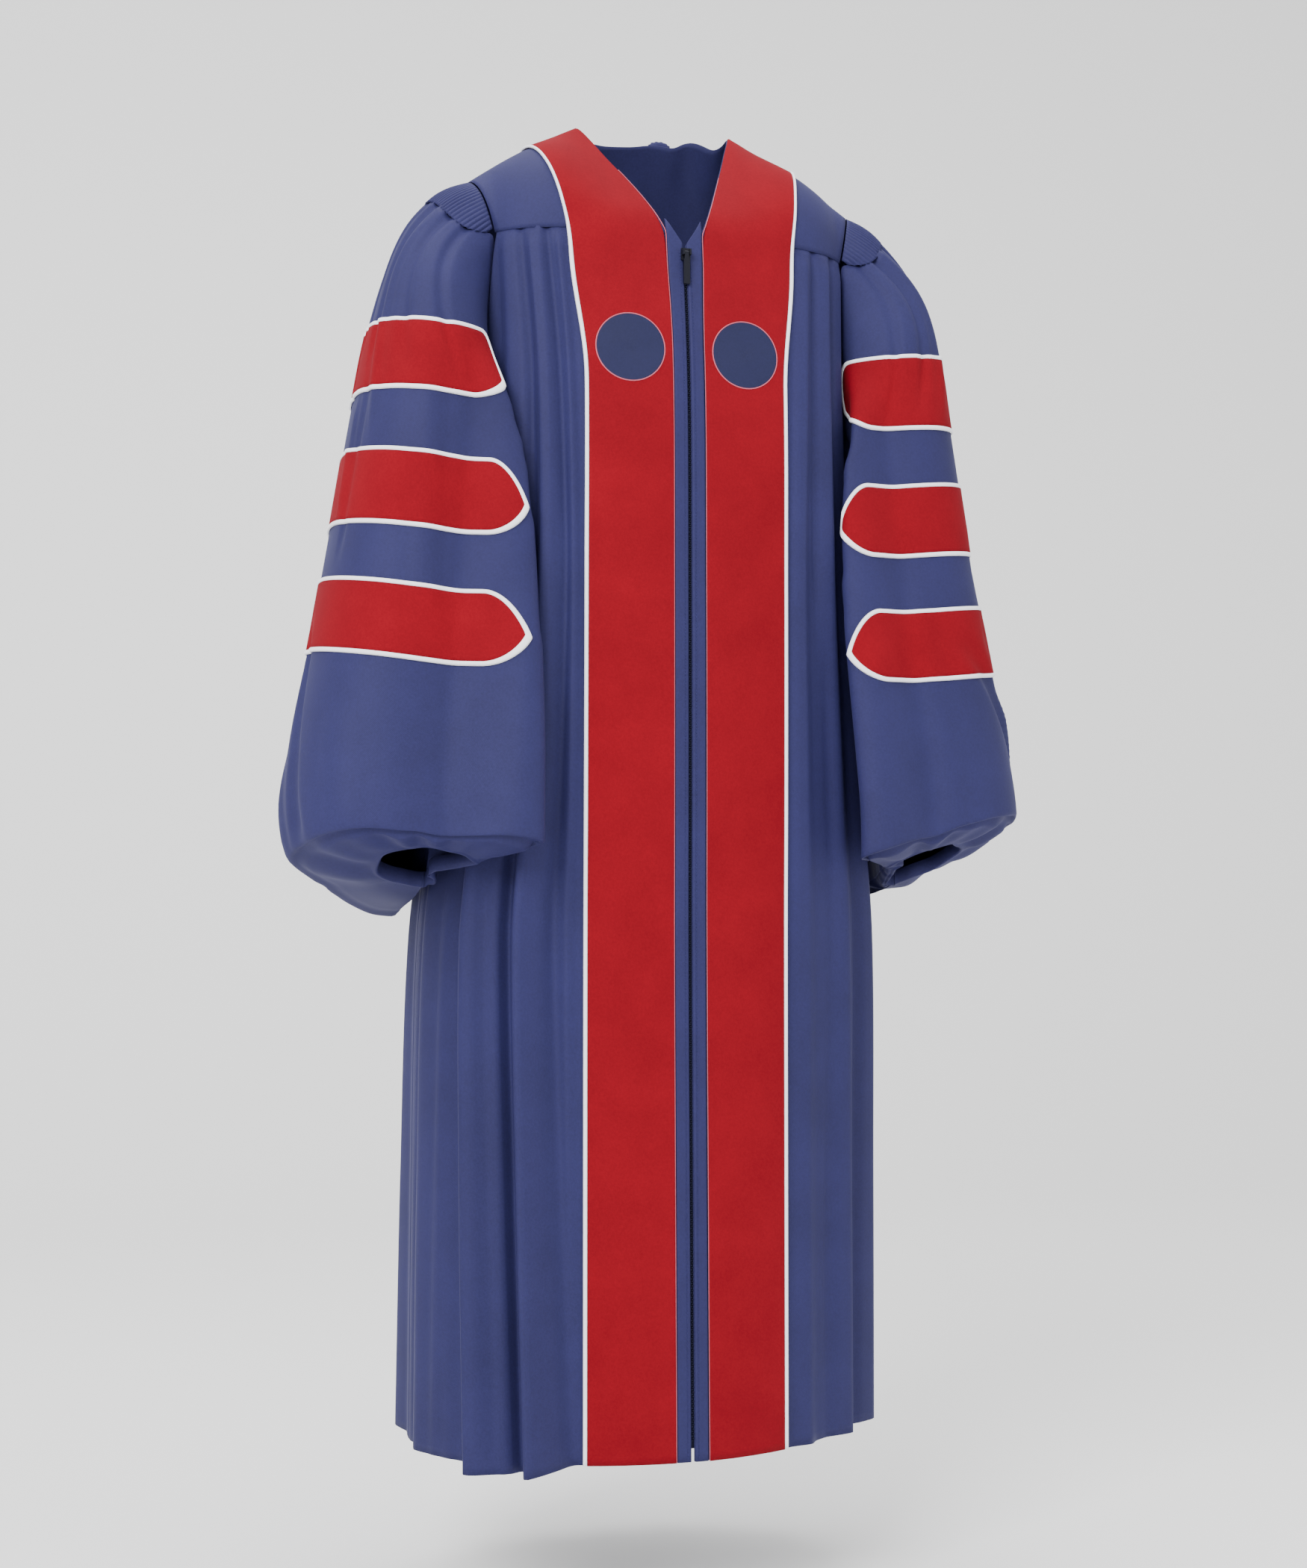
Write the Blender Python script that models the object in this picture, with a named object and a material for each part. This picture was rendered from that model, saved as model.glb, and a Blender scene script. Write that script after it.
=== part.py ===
"""Graduation gown held on the shoulders: body, yoke, bell sleeves, velvet trim, piping and front zip."""
import math

import bmesh
import bpy
import numpy
from mathutils import Vector

# Sizes in metres. The origin is between the two neck points, where the shoulders hold the gown.
CLOTH = 0.0016
VELVET = 0.0014
TAPE = 0.0011
SEAM = 0.00035
HEM_Z = -1.360
YOKE_Z = -0.143
UNDERARM_Z = -0.360
NECK_X = 0.083
SHOULDER_X = 0.208
YOKE_FRONT_X = 0.186
YOKE_BACK_X = 0.190
BACK_NECK_RISE = 0.078
LEFT_NECK_LIFT = 0.006
BACK_NECK_LIFT = 0.013
BACK_NECK_SAG = 0.012
LEFT_NECK_REACH = 0.057
BACK_RISE_X = 0.0625
BACK_RISE_REACH = 0.0205
BACK_SAG_X = -0.012
BACK_SAG_REACH = 0.050
SIDE_SEAM = 91.0
FRONT_EDGE_X = 0.0015
PLACKET_X = 0.0158
PANEL_IN_X = 0.0166
PIPE_IN_X = 0.1010
PIPE_OUT_X = 0.1064
PIPE_HEIGHT = 0.0030
YOKE_SPREAD = 0.125
PATCH_RADIUS = 0.035
PATCH_X = 0.060
PATCH_Z = -0.267
FLUTE_LENGTH = 0.046
FLUTE_HEIGHT = 0.0016
FLUTES = 44
FLUTE_END = 0.012
SLEEVE_CLEAR = 0.0100
LAP_CLEAR = 0.0035
TUCK = 0.030
LAP_SHARE = 0.386
TUCK_SHARE = 0.470
CORNER_SHARE = 0.397
CORNER_CLEAR = 0.014
BELL_CLEAR = 0.004
CUFF_TOP = -0.60
HEM_INSET = 0.0008
V_X = 0.0100
V_Z = -0.156
BAR_LIFT = 0.0010
SLIDER_HALF = 0.0048
SLIDER_LENGTH = 0.012
SLIDER_DEPTH = 0.0022
BORE_RADIUS = 0.0011
AXLE_RADIUS = 0.00085
TAB_LENGTH = 0.033
BUTTON_ROW = 11
BUTTON_X = 0.031
BUTTON_RISE = 0.0010
BUTTON_STAND = 0.00800
BUTTON_HALF = (0.0135, 0.0055, 0.0075)

# Body outline: height, half width, centre y, front depth, back depth,
# squareness of the wearer's right front, left front and back.
BODY = (
    (-0.143, 0.200, -0.010, 0.115, 0.113, 3.2, 3.2, 3.0),
    (-0.300, 0.196, -0.005, 0.138, 0.128, 3.0, 3.0, 2.8),
    (-0.500, 0.206, 0.006, 0.152, 0.136, 2.7, 2.6, 2.4),
    (-0.700, 0.224, 0.018, 0.164, 0.146, 2.5, 2.3, 2.2),
    (-0.850, 0.240, 0.028, 0.173, 0.158, 2.4, 2.1, 2.2),
    (-1.100, 0.243, 0.036, 0.184, 0.170, 2.3, 1.9, 2.2),
    (-1.360, 0.243, 0.040, 0.192, 0.182, 2.2, 1.75, 2.2),
)

# Folds: angle from the centre front at the four fold heights, run of the slope, drop past the crest,
# share of the depth where the slope starts, and depth at the four fold heights. Minus is the wearer's right.
FOLD_HEIGHTS = (-0.165, -0.450, -0.850, -1.360)
FOLDS = (
    ("right inner", -1, (30, 28, 26.5, 26.7), 2.5, 1.5, 0.0, (0.005, 0.007, 0.005, 0.001)),
    ("right front", -1, (42, 38.5, 39, 35.5), 7, 2.6, 0.3, (0.007, 0.012, 0.032, 0.047)),
    ("right side", -1, (56, 56, 55, 50), 10, 5.0, 0.5, (0.004, 0.009, 0.026, 0.044)),
    ("right hip", -1, (72, 76, 79, 79), 9, 7.0, 0.0, (0.002, 0.004, 0.006, 0.008)),
    ("left inner", 1, (32, 31, 32, 36), 5, 3.5, 0.0, (0.006, 0.007, 0.005, 0.007)),
    ("left front", 1, (45, 46, 48, 52), 8, 4.0, 0.0, (0.006, 0.010, 0.010, 0.014)),
    ("left side", 1, (60, 64, 66, 70), 9, 5.0, 0.0, (0.003, 0.007, 0.012, 0.016)),
    ("left hip", 1, (76, 80, 82, 85), 8, 4.5, 0.0, (0.002, 0.004, 0.008, 0.012)),
    ("back right 1", -1, (104, 106, 107, 108), 8, 7.0, 0.0, (0.003, 0.007, 0.012, 0.017)),
    ("back right 2", -1, (121, 123, 125, 126), 9, 6.0, 0.0, (0.005, 0.010, 0.019, 0.033)),
    ("back right 3", -1, (136, 139, 141, 143), 8, 6.0, 0.0, (0.006, 0.009, 0.014, 0.022)),
    ("back right 4", -1, (151, 154, 157, 160), 8, 6.0, 0.0, (0.006, 0.011, 0.020, 0.031)),
    ("back right 5", -1, (166, 169, 172, 175), 7, 4.0, 0.0, (0.005, 0.008, 0.012, 0.017)),
    ("back left 1", 1, (103, 105, 106, 106), 8, 7.0, 0.0, (0.003, 0.006, 0.013, 0.022)),
    ("back left 2", 1, (121, 123, 124, 125), 9, 6.0, 0.0, (0.005, 0.010, 0.020, 0.034)),
    ("back left 3", 1, (136, 138, 139, 141), 8, 6.0, 0.0, (0.006, 0.008, 0.013, 0.020)),
    ("back left 4", 1, (151, 153, 155, 158), 8, 6.0, 0.0, (0.006, 0.011, 0.018, 0.029)),
    ("back left 5", 1, (166, 168, 171, 173), 8, 5.0, 0.0, (0.005, 0.008, 0.013, 0.020)),
)

# Yoke rows from the front seam over the shoulder to the centre back: place of the neck edge and of
# the outer edge, each as x and share of the arch, and share of the row that the velvet covers.
YOKE_ROWS = (
    (0.0170, 0.000, 0.186, 0.00, 0.608),
    (0.0270, 0.100, 0.191, 0.10, 0.604),
    (0.0400, 0.200, 0.196, 0.20, 0.590),
    (0.0535, 0.290, 0.201, 0.30, 0.573),
    (0.0690, 0.390, 0.205, 0.40, 0.544),
    (0.0830, 0.500, 0.208, 0.50, 0.504),
    (0.0810, 0.585, 0.206, 0.60, 0.420),
    (0.0730, 0.640, 0.203, 0.70, 0.340),
    (0.0620, 0.680, 0.199, 0.80, 0.280),
    (0.0500, 0.700, 0.195, 0.90, 0.250),
    (0.0380, 0.715, 0.190, 1.00, 0.244),
    (0.0260, 0.722, 0.140, 1.00, 0.280),
    (0.0130, 0.726, 0.070, 1.00, 0.305),
    (0.0006, 0.728, 0.001, 1.00, 0.320),
)

# Sleeve outline for each side: height, outer x, inner x, front y, back y and how far it laps the body front.
SLEEVE_RIGHT = (
    (-0.070, 0.206, 0.176, -0.060, 0.030, 0.000),
    (-0.116, 0.255, 0.172, -0.088, 0.052, 0.000),
    (-0.158, 0.281, 0.170, -0.106, 0.072, 0.006),
    (-0.236, 0.305, 0.168, -0.124, 0.088, 0.014),
    (-0.311, 0.319, 0.166, -0.133, 0.098, 0.022),
    (-0.446, 0.342, 0.164, -0.140, 0.104, 0.036),
    (-0.573, 0.365, 0.160, -0.148, 0.106, 0.044),
    (-0.660, 0.382, 0.158, -0.156, 0.106, 0.048),
    (-0.740, 0.389, 0.158, -0.164, 0.104, 0.048),
    (-0.860, 0.366, 0.162, -0.166, 0.100, 0.044),
)
SLEEVE_LEFT = (
    (-0.070, 0.206, 0.176, -0.060, 0.030, 0.000),
    (-0.116, 0.260, 0.172, -0.088, 0.052, 0.000),
    (-0.158, 0.286, 0.170, -0.104, 0.072, 0.008),
    (-0.236, 0.309, 0.170, -0.116, 0.090, 0.018),
    (-0.311, 0.321, 0.172, -0.120, 0.102, 0.026),
    (-0.446, 0.342, 0.176, -0.126, 0.110, 0.034),
    (-0.573, 0.365, 0.182, -0.134, 0.116, 0.038),
    (-0.660, 0.382, 0.186, -0.140, 0.118, 0.040),
    (-0.740, 0.389, 0.190, -0.146, 0.118, 0.040),
    (-0.860, 0.366, 0.194, -0.148, 0.116, 0.036),
)
# Slanted sleeve bottoms: height at y = -0.165 and x = 0.25, rise per metre of y and of x,
# wrist opening centre x and y, half length along x, half length along y.
BOTTOM_RIGHT = (-0.760, -0.29, 0.10, 0.258, -0.105, 0.062, 0.040)
BOTTOM_LEFT = (-0.752, -0.24, 0.30, 0.276, -0.060, 0.052, 0.046)
# Shares round a sleeve, from the outer line to the front, the body side and the back.
SLEEVE_SHARES = (
    0.0, 0.05, 0.10, 0.15, 0.20, 0.25, 0.285, 0.315, 0.338, 0.356, 0.370, 0.382, 0.394, 0.407, 0.424, 0.450, 0.485,
    0.52, 0.555, 0.585, 0.612, 0.638, 0.665, 0.685, 0.705, 0.75, 0.80, 0.85, 0.90, 0.95,
)
SLEEVE_RUN = (0.0, 0.04, 0.095, 0.16, 0.24, 0.32, 0.40, 0.49, 0.58, 0.68, 0.79, 0.90, 1.0)
# Sleeve bars: height at the outer line, drop towards the front tip, half height, share at the front
# tip and at the front corner, share at the back corner and tip (minus is past the outer line).
BARS = (
    (-0.2735, 0.016, 0.0375, 0.322, 0.285, -0.250, -0.295),
    (-0.4065, 0.020, 0.0390, 0.356, 0.320, -0.250, -0.295),
    (-0.5355, 0.022, 0.0380, 0.356, 0.320, -0.250, -0.295),
)
BAR_EDGE = 0.0068
BAR_SLANT = 1.35
BAR_OVER_BODY = 0.0044
LEFT_BAR_TIP = 0.014
LEFT_BAR_CORNER = 0.012
WRIST_MARGIN = 0.012
BOTTOM_SAG = 0.008
HEAD_RUN = 0.17


def blend(first, second, share):
    return first + (second - first) * share


def soft(share):
    share = min(1.0, max(0.0, share))
    return share * share * (3.0 - 2.0 * share)


def row_at(table, height):
    """Return a table's values at a height, on a smooth line through its rows."""
    last = len(table) - 1
    if height >= table[0][0]:
        return table[0][1:]
    if height <= table[last][0]:
        return table[last][1:]
    index = 0
    while table[index + 1][0] > height:
        index += 1
    here = table[index]
    there = table[index + 1]
    before = table[max(0, index - 1)]
    after = table[min(last, index + 2)]
    span = there[0] - here[0]
    share = (height - here[0]) / span
    cube = share ** 3
    square = share ** 2
    values = []
    for column in range(1, len(here)):
        slope_here = (there[column] - before[column]) / (there[0] - before[0]) * span
        slope_there = (after[column] - here[column]) / (after[0] - here[0]) * span
        value = (2 * cube - 3 * square + 1) * here[column] + (cube - 2 * square + share) * slope_here
        value += (3 * square - 2 * cube) * there[column] + (cube - square) * slope_there
        values.append(value)
    return values


def four_at(values, height):
    """Return a value between the four fold heights."""
    if height >= FOLD_HEIGHTS[0]:
        return values[0]
    for index in range(3):
        if height >= FOLD_HEIGHTS[index + 1]:
            share = (height - FOLD_HEIGHTS[index]) / (FOLD_HEIGHTS[index + 1] - FOLD_HEIGHTS[index])
            return blend(values[index], values[index + 1], share)
    return values[3]


def fold_rise(angle, height):
    """Return how far the folds lift the body cloth at an angle in degrees."""
    fade = soft((YOKE_Z - height) / 0.02)
    rise = 0.0
    side = 1 if angle >= 0 else -1
    for _, fold_side, places, slope, drop, start, depths in FOLDS:
        if fold_side != side:
            continue
        off = abs(angle) - four_at(places, height)
        if off <= -slope - 2.0 or off >= drop:
            continue
        if off < -slope:
            share = start * (off + slope + 2.0) / 2.0
        elif off < 0:
            share = blend(start, 1.0, (off + slope) / slope)
        else:
            share = 1.0 - off / drop
        rise += share * four_at(depths, height) * fade
    return rise


def body_point(angle, height, rise=None):
    """Return the outside of the body cloth at an angle in degrees from the centre front."""
    half, centre, front, back, square_r, square_l, square_b = row_at(BODY, height)
    turn = math.radians(angle)
    sine = math.sin(turn)
    cosine = math.cos(turn)
    depth = front if cosine > 0 else back
    square = square_b
    if cosine > 0:
        square = square_l if sine > 0 else square_r
    across = abs(sine) ** (2.0 / square)
    along = abs(cosine) ** (2.0 / square)
    normal_x = math.copysign(across ** (square - 1.0) / half, sine)
    normal_y = -math.copysign(along ** (square - 1.0) / depth, cosine)
    size = math.hypot(normal_x, normal_y)
    if rise is None:
        rise = fold_rise(angle, height)
    x = math.copysign(half * across, sine) + normal_x / size * rise
    y = centre - math.copysign(depth * along, cosine) + normal_y / size * rise
    return Vector((x, y, height))


def angle_of_x(x, height):
    """Return the angle where the plain front crosses a distance from the centre."""
    half, _, _, _, square_r, square_l, _ = row_at(BODY, height)
    square = square_l if x > 0 else square_r
    share = min(1.0, abs(x) / half) ** (square / 2.0)
    return math.copysign(math.degrees(math.asin(share)), x)


def front_y(x):
    x = math.copysign(min(abs(x), YOKE_FRONT_X), x)
    return body_point(angle_of_x(x, YOKE_Z), YOKE_Z).y


def back_y(x):
    half, centre, _, back, _, _, square_b = row_at(BODY, YOKE_Z)
    share = (min(abs(x), YOKE_BACK_X) / half) ** square_b
    return centre + back * (1.0 - share) ** (1.0 / square_b)


def round_bump(distance):
    return max(0.0, 1.0 - distance * distance) ** 2


def neck_lift(x, behind):
    """Return how far the worn neck edge stands off its even line: higher on the left, lower in the middle."""
    lift = LEFT_NECK_LIFT * round_bump((x - NECK_X) / LEFT_NECK_REACH)
    if behind and abs(x) < NECK_X:
        lift += BACK_NECK_LIFT * round_bump((x - BACK_RISE_X) / BACK_RISE_REACH)
        lift -= BACK_NECK_SAG * round_bump((x - BACK_SAG_X) / BACK_SAG_REACH)
    return lift


def arch_point(x, share):
    """Return a point of the yoke's arch: 0 is the front seam, 0.5 the shoulder crest, 1 the back seam."""
    reach = abs(x)
    crest_y = blend(-0.012, -0.032, soft((reach - NECK_X) / (SHOULDER_X - NECK_X)))
    round_share = soft((reach - 0.06) / 0.09)
    if reach < NECK_X:
        crest_z = 0.0 if share < 0.5 else BACK_NECK_RISE * (1.0 - (reach / NECK_X) ** 2)
    else:
        run = reach - NECK_X
        crest_z = -0.52 * run - 0.96 * run * run
    crest_z += neck_lift(x, share > 0.5)
    if share <= 0.5:
        end_y = front_y(x)
        end_z = YOKE_Z
        step = 1.0 - share * 2.0
        first = Vector((x, blend(blend(crest_y, end_y, 0.33), blend(crest_y, end_y, 0.55), round_share),
                        blend(blend(crest_z, end_z, 0.30), crest_z, round_share)))
        second_z = blend(blend(end_z, crest_z, 0.20), blend(end_z, crest_z, 0.5), round_share)
        second = Vector((x, end_y, second_z))
    else:
        end_y = back_y(x)
        end_z = YOKE_Z
        step = share * 2.0 - 1.0
        first = Vector((x, blend(crest_y, end_y, 0.55), crest_z))
        second = Vector((x, end_y, blend(end_z, crest_z, 0.55)))
    start = Vector((x, crest_y, crest_z))
    end = Vector((x, end_y, end_z))
    rest = 1.0 - step
    point = start * rest ** 3 + first * (3 * rest * rest * step)
    return point + second * (3 * rest * step * step) + end * step ** 3


def hem_height(angle):
    """Return the hem height: it hangs a little lower under the right side's folds."""
    return HEM_Z - 0.006 * soft((-angle - 24.0) / 14.0) * soft((angle + 140.0) / 50.0)


def armhole_top(angle):
    """Return the height of the body cloth's upper edge at an angle."""
    reach = abs(angle)
    if reach < 62.0:
        return YOKE_Z
    if reach <= 90.0:
        share = (reach - 62.0) / 28.0
    elif reach <= 120.0:
        share = (120.0 - reach) / 30.0
    else:
        return YOKE_Z
    return blend(YOKE_Z, UNDERARM_Z, math.sin(share * math.pi / 2.0) ** 1.2)


def outline_at(height):
    """Return the folded body outline at a height, as the starts and the edges of its segments."""
    key = round(height * 400.0)
    if key not in OUTLINES:
        level = key / 400.0
        rises = [fold_rise(index * 1.5 - 180.0, level) for index in range(240)]
        points = []
        for index in range(240):
            rise = max(rises[(index + step) % 240] for step in range(-4, 5))
            points.append(tuple(body_point(index * 1.5 - 180.0, level, rise).xy))
        starts = numpy.array(points)
        OUTLINES[key] = (starts, numpy.roll(starts, -1, axis=0) - starts)
    return OUTLINES[key]


OUTLINES = {}


def outline_gap(outline, x, y):
    """Return the distance from a plan point to the body outline."""
    starts, edges = outline
    away = numpy.array((x, y)) - starts
    share = (away * edges).sum(axis=1) / (edges * edges).sum(axis=1)
    near = away - edges * numpy.clip(share, 0.0, 1.0)[:, None]
    return float(numpy.sqrt((near * near).sum(axis=1)).min())


def clear_reach(centre_x, centre_y, way_x, way_y, reach, height, clear):
    """Return how far a ray goes before it comes nearer than a clearance to the body cloth."""
    outline = outline_at(height)
    starts, edges = outline
    gaps = starts - numpy.array((centre_x, centre_y))
    cross = way_x * edges[:, 1] - way_y * edges[:, 0]
    cross[abs(cross) < 1e-12] = 1e-12
    along = (gaps[:, 0] * edges[:, 1] - gaps[:, 1] * edges[:, 0]) / cross
    beside = (gaps[:, 0] * way_y - gaps[:, 1] * way_x) / cross
    met = along[(beside >= 0.0) & (beside <= 1.0) & (along > 0.0)]
    best = min(reach, float(met.min())) if len(met) else reach
    for _ in range(60):
        gap = outline_gap(outline, centre_x + way_x * best, centre_y + way_y * best)
        if gap >= clear or best < 0.02:
            break
        best -= max(0.0004, (clear - gap) * 0.7)
    return best


def ring_point(side, share, height):
    """Return a point of a sleeve outline at a height, kept clear of the body."""
    table = SLEEVE_LEFT if side > 0 else SLEEVE_RIGHT
    outer, inner, front, back, lap = row_at(table, height)
    centre_x = side * (outer * 0.56 + inner * 0.44)
    centre_y = front * 0.54 + back * 0.46
    turn = share * 2.0 * math.pi
    way_x = side * math.cos(turn)
    way_y = -math.sin(turn)
    half_x = abs(side * outer - centre_x) if way_x * side > 0 else abs(centre_x - side * inner)
    half_y = centre_y - front if way_y < 0 else back - centre_y
    square = 2.3
    if way_x * side > 0 and way_y > 0:
        square = blend(2.1, 1.12, soft((-0.30 - height) / 0.40))
    reach = 1.0 / ((abs(way_x) / half_x) ** square + (abs(way_y) / half_y) ** square) ** (1.0 / square)
    off = (share - 0.372) / 0.075
    if abs(off) < 1.0:
        reach += lap * (1.0 - off * off) ** 2 * 1.25
    clear = LAP_CLEAR
    if share > LAP_SHARE:
        clear = SLEEVE_CLEAR + CORNER_CLEAR * max(0.0, 1.0 - abs(share - CORNER_SHARE) / 0.02)
    clear += BELL_CLEAR * soft((CUFF_TOP - height) / 0.15)
    if LAP_SHARE < share < TUCK_SHARE:
        reach = min(reach, (abs(centre_x) - inner - TUCK) / abs(way_x))
    reach = clear_reach(centre_x, centre_y, way_x, way_y, reach, min(height, YOKE_Z - 0.02), clear)
    return Vector((centre_x + way_x * reach, centre_y + way_y * reach, height))


def armhole_point(side, share):
    """Return a point of the armhole seam: yoke edge above, body edge below."""
    share = share % 1.0
    if share <= 0.25 or share >= 0.75:
        turn = share if share <= 0.25 else share - 1.0
        arch = 0.5 - 2.0 * turn
        index = min(9, int(arch * 10.0 + 1e-9))
        part = arch * 10.0 - index
        first = YOKE_ROWS[index]
        second = YOKE_ROWS[index + 1]
        ends = []
        for row in (first, second):
            ends.append(arch_point(side * row[2], row[3]))
        point = ends[0].lerp(ends[1], part)
        point.x += side * (SEAM + 0.0002)
        point.z -= 0.0004
        return point
    if share < 0.5:
        angle = blend(62.5, 90.0, (share - 0.25) * 4.0)
    else:
        angle = blend(90.0, 119.5, (share - 0.5) * 4.0)
    angle *= side
    point = body_point(angle, armhole_top(angle))
    away = Vector((point.x - side * 0.10, point.y + 0.005, 0.0)).normalized()
    point += away * (SEAM + 0.0006)
    return point


def bottom_height(side, x, y):
    bottom = BOTTOM_LEFT if side > 0 else BOTTOM_RIGHT
    return bottom[0] + bottom[1] * (y + 0.165) + bottom[2] * (abs(x) - 0.25)


def push_clear(side, point, clear):
    """Move a sleeve point out of the body cloth along the line to the sleeve's own middle."""
    if point.z > YOKE_Z - 0.01:
        return point
    table = SLEEVE_LEFT if side > 0 else SLEEVE_RIGHT
    outer, inner, front, back, _ = row_at(table, point.z)
    centre_x = side * (outer * 0.56 + inner * 0.44)
    centre_y = front * 0.54 + back * 0.46
    way = Vector((point.x - centre_x, point.y - centre_y))
    reach = way.length
    if reach < 1e-6:
        return point
    way /= reach
    reach = clear_reach(centre_x, centre_y, way.x, way.y, reach, point.z, clear)
    return Vector((centre_x + way.x * reach, centre_y + way.y * reach, point.z))


def sleeve_point(side, share, run):
    """Return the outside of a sleeve: run 0 is the armhole seam, 1 the bottom edge."""
    top = armhole_point(side, share)
    low = ring_point(side, share, -0.77)
    low = ring_point(side, share, bottom_height(side, low.x, low.y))
    low_z = bottom_height(side, low.x, low.y)
    if run >= HEAD_RUN:
        return ring_point(side, share, blend(top.z, low_z, run))
    end = ring_point(side, share, blend(top.z, low_z, HEAD_RUN))
    ahead = ring_point(side, share, blend(top.z, low_z, HEAD_RUN + 0.03))
    part = run / HEAD_RUN
    span = (end - top).length * 0.42
    turn = share if share <= 0.5 else share - 1.0
    lean = min(1.0, abs(turn) / 0.25)
    forward = -1.0 if turn > 0 else 1.0
    straight = (end - top).normalized()
    leave = Vector((side * blend(0.93, 0.72, lean), forward * 0.24 * lean, -blend(0.36, 0.65, lean)))
    leave = leave.normalized().lerp(straight, soft((abs(turn) - 0.24) / 0.06))
    arrive = (ahead - end).normalized()
    first = top + leave * span
    second = end - arrive * span
    rest = 1.0 - part
    point = top * rest ** 3 + first * (3 * rest * rest * part)
    point = point + second * (3 * rest * part * part) + end * part ** 3
    if abs(turn) > 0.25 and run > 0.001:
        point = push_clear(side, point, blend(SEAM + 0.0008, SLEEVE_CLEAR, soft(run / 0.10)))
    return point


def flute_run(share):
    """Return the run where the fluted head ends and the plain sleeve begins."""
    turn = share if share <= 0.5 else share - 1.0
    reach = abs(turn) / 0.25
    if reach >= 1.0:
        return 0.0
    return FLUTE_LENGTH * (1.0 - reach ** 6)


def vertex_normals(points, wrap):
    """Return each point's outward direction, stretched a little where the cloth turns sharply."""
    columns = len(points)
    rows = len(points[0])
    total = [[Vector((0.0, 0.0, 0.0)) for row in range(rows)] for column in range(columns)]
    faces = [[[] for row in range(rows)] for column in range(columns)]
    for column in range(columns if wrap else columns - 1):
        following = (column + 1) % columns
        for row in range(rows - 1):
            corners = ((column, row), (following, row), (following, row + 1), (column, row + 1))
            first = points[following][row + 1] - points[column][row]
            second = points[column][row + 1] - points[following][row]
            face = first.cross(second)
            if face.length > 1e-12:
                face.normalize()
            for corner in corners:
                total[corner[0]][corner[1]] += face
                faces[corner[0]][corner[1]].append(face)
    for column in range(columns):
        for row in range(rows):
            mean = total[column][row].normalized()
            around = faces[column][row]
            lean = sum(mean.dot(face) for face in around) / max(1, len(around))
            total[column][row] = mean / max(0.62, lean)
    return total


def facing_out(points, wrap=False, axis_x=0.0, axis_y=0.02):
    """Return a grid's directions, turned away from an upright axis."""
    normals = vertex_normals(points, wrap)
    lean = 0.0
    for column, line in enumerate(points):
        for row, point in enumerate(line):
            lean += normals[column][row].dot(Vector((point.x - axis_x, point.y - axis_y, 0.0)))
    if lean < 0.0:
        normals = [[-normal for normal in line] for line in normals]
    return normals


def move_out(points, normals, distance):
    result = []
    for column in range(len(points)):
        line = []
        for row in range(len(points[0])):
            line.append(points[column][row] + normals[column][row] * distance)
        result.append(line)
    return result


def make_material(name, colour, roughness, metallic):
    material = bpy.data.materials.new(name)
    material.use_nodes = True
    shader = material.node_tree.nodes["Principled BSDF"]
    shader.inputs["Base Color"].default_value = (colour[0], colour[1], colour[2], 1.0)
    shader.inputs["Roughness"].default_value = roughness
    shader.inputs["Metallic"].default_value = metallic
    material.diffuse_color = (colour[0], colour[1], colour[2], 1.0)
    return material


def make_wall(name, outer, inner, material, wrap=False):
    """Make one closed cloth wall between two equal grids of points."""
    columns = len(outer)
    rows = len(outer[0])
    mesh_grid = bmesh.new()
    across = columns if wrap else columns - 1
    bmesh.ops.create_grid(mesh_grid, x_segments=across, y_segments=rows - 1, size=0.5)
    column_of = mesh_grid.verts.layers.int.new("column")
    row_of = mesh_grid.verts.layers.int.new("row")
    skin_of = mesh_grid.verts.layers.int.new("skin")
    for vertex in mesh_grid.verts:
        vertex[column_of] = round((vertex.co.x + 0.5) * across) % columns
        vertex[row_of] = round((vertex.co.y + 0.5) * (rows - 1))
    if wrap:
        for vertex in mesh_grid.verts:
            turn = vertex[column_of] / columns * 2.0 * math.pi
            vertex.co = (math.cos(turn), math.sin(turn), vertex[row_of])
        bmesh.ops.remove_doubles(mesh_grid, verts=mesh_grid.verts[:], dist=1e-5)
    lifted = bmesh.ops.extrude_face_region(mesh_grid, geom=mesh_grid.faces[:], use_keep_orig=True)
    for element in lifted["geom"]:
        if isinstance(element, bmesh.types.BMVert):
            element[skin_of] = 1
    for vertex in mesh_grid.verts:
        grid = outer if vertex[skin_of] else inner
        vertex.co = grid[vertex[column_of]][vertex[row_of]]
    bmesh.ops.recalc_face_normals(mesh_grid, faces=mesh_grid.faces[:])
    if mesh_grid.calc_volume(signed=True) < 0:
        bmesh.ops.reverse_faces(mesh_grid, faces=mesh_grid.faces[:])
    return make_object(name, mesh_grid, material)


def make_object(name, mesh_source, material):
    mesh = bpy.data.meshes.new(name)
    mesh_source.to_mesh(mesh)
    mesh_source.free()
    mesh.materials.append(material)
    made = bpy.data.objects.new(name, mesh)
    GOWN.objects.link(made)
    return made


def shell_of(name, outer, thickness, material, wrap=False):
    """Make a wall inward from a grid of outside points, and return those points with their normals."""
    normals = facing_out(outer, wrap)
    make_wall(name, outer, move_out(outer, normals, -thickness), material, wrap)
    return outer, normals


def flip(points):
    return list(reversed(points))


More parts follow.
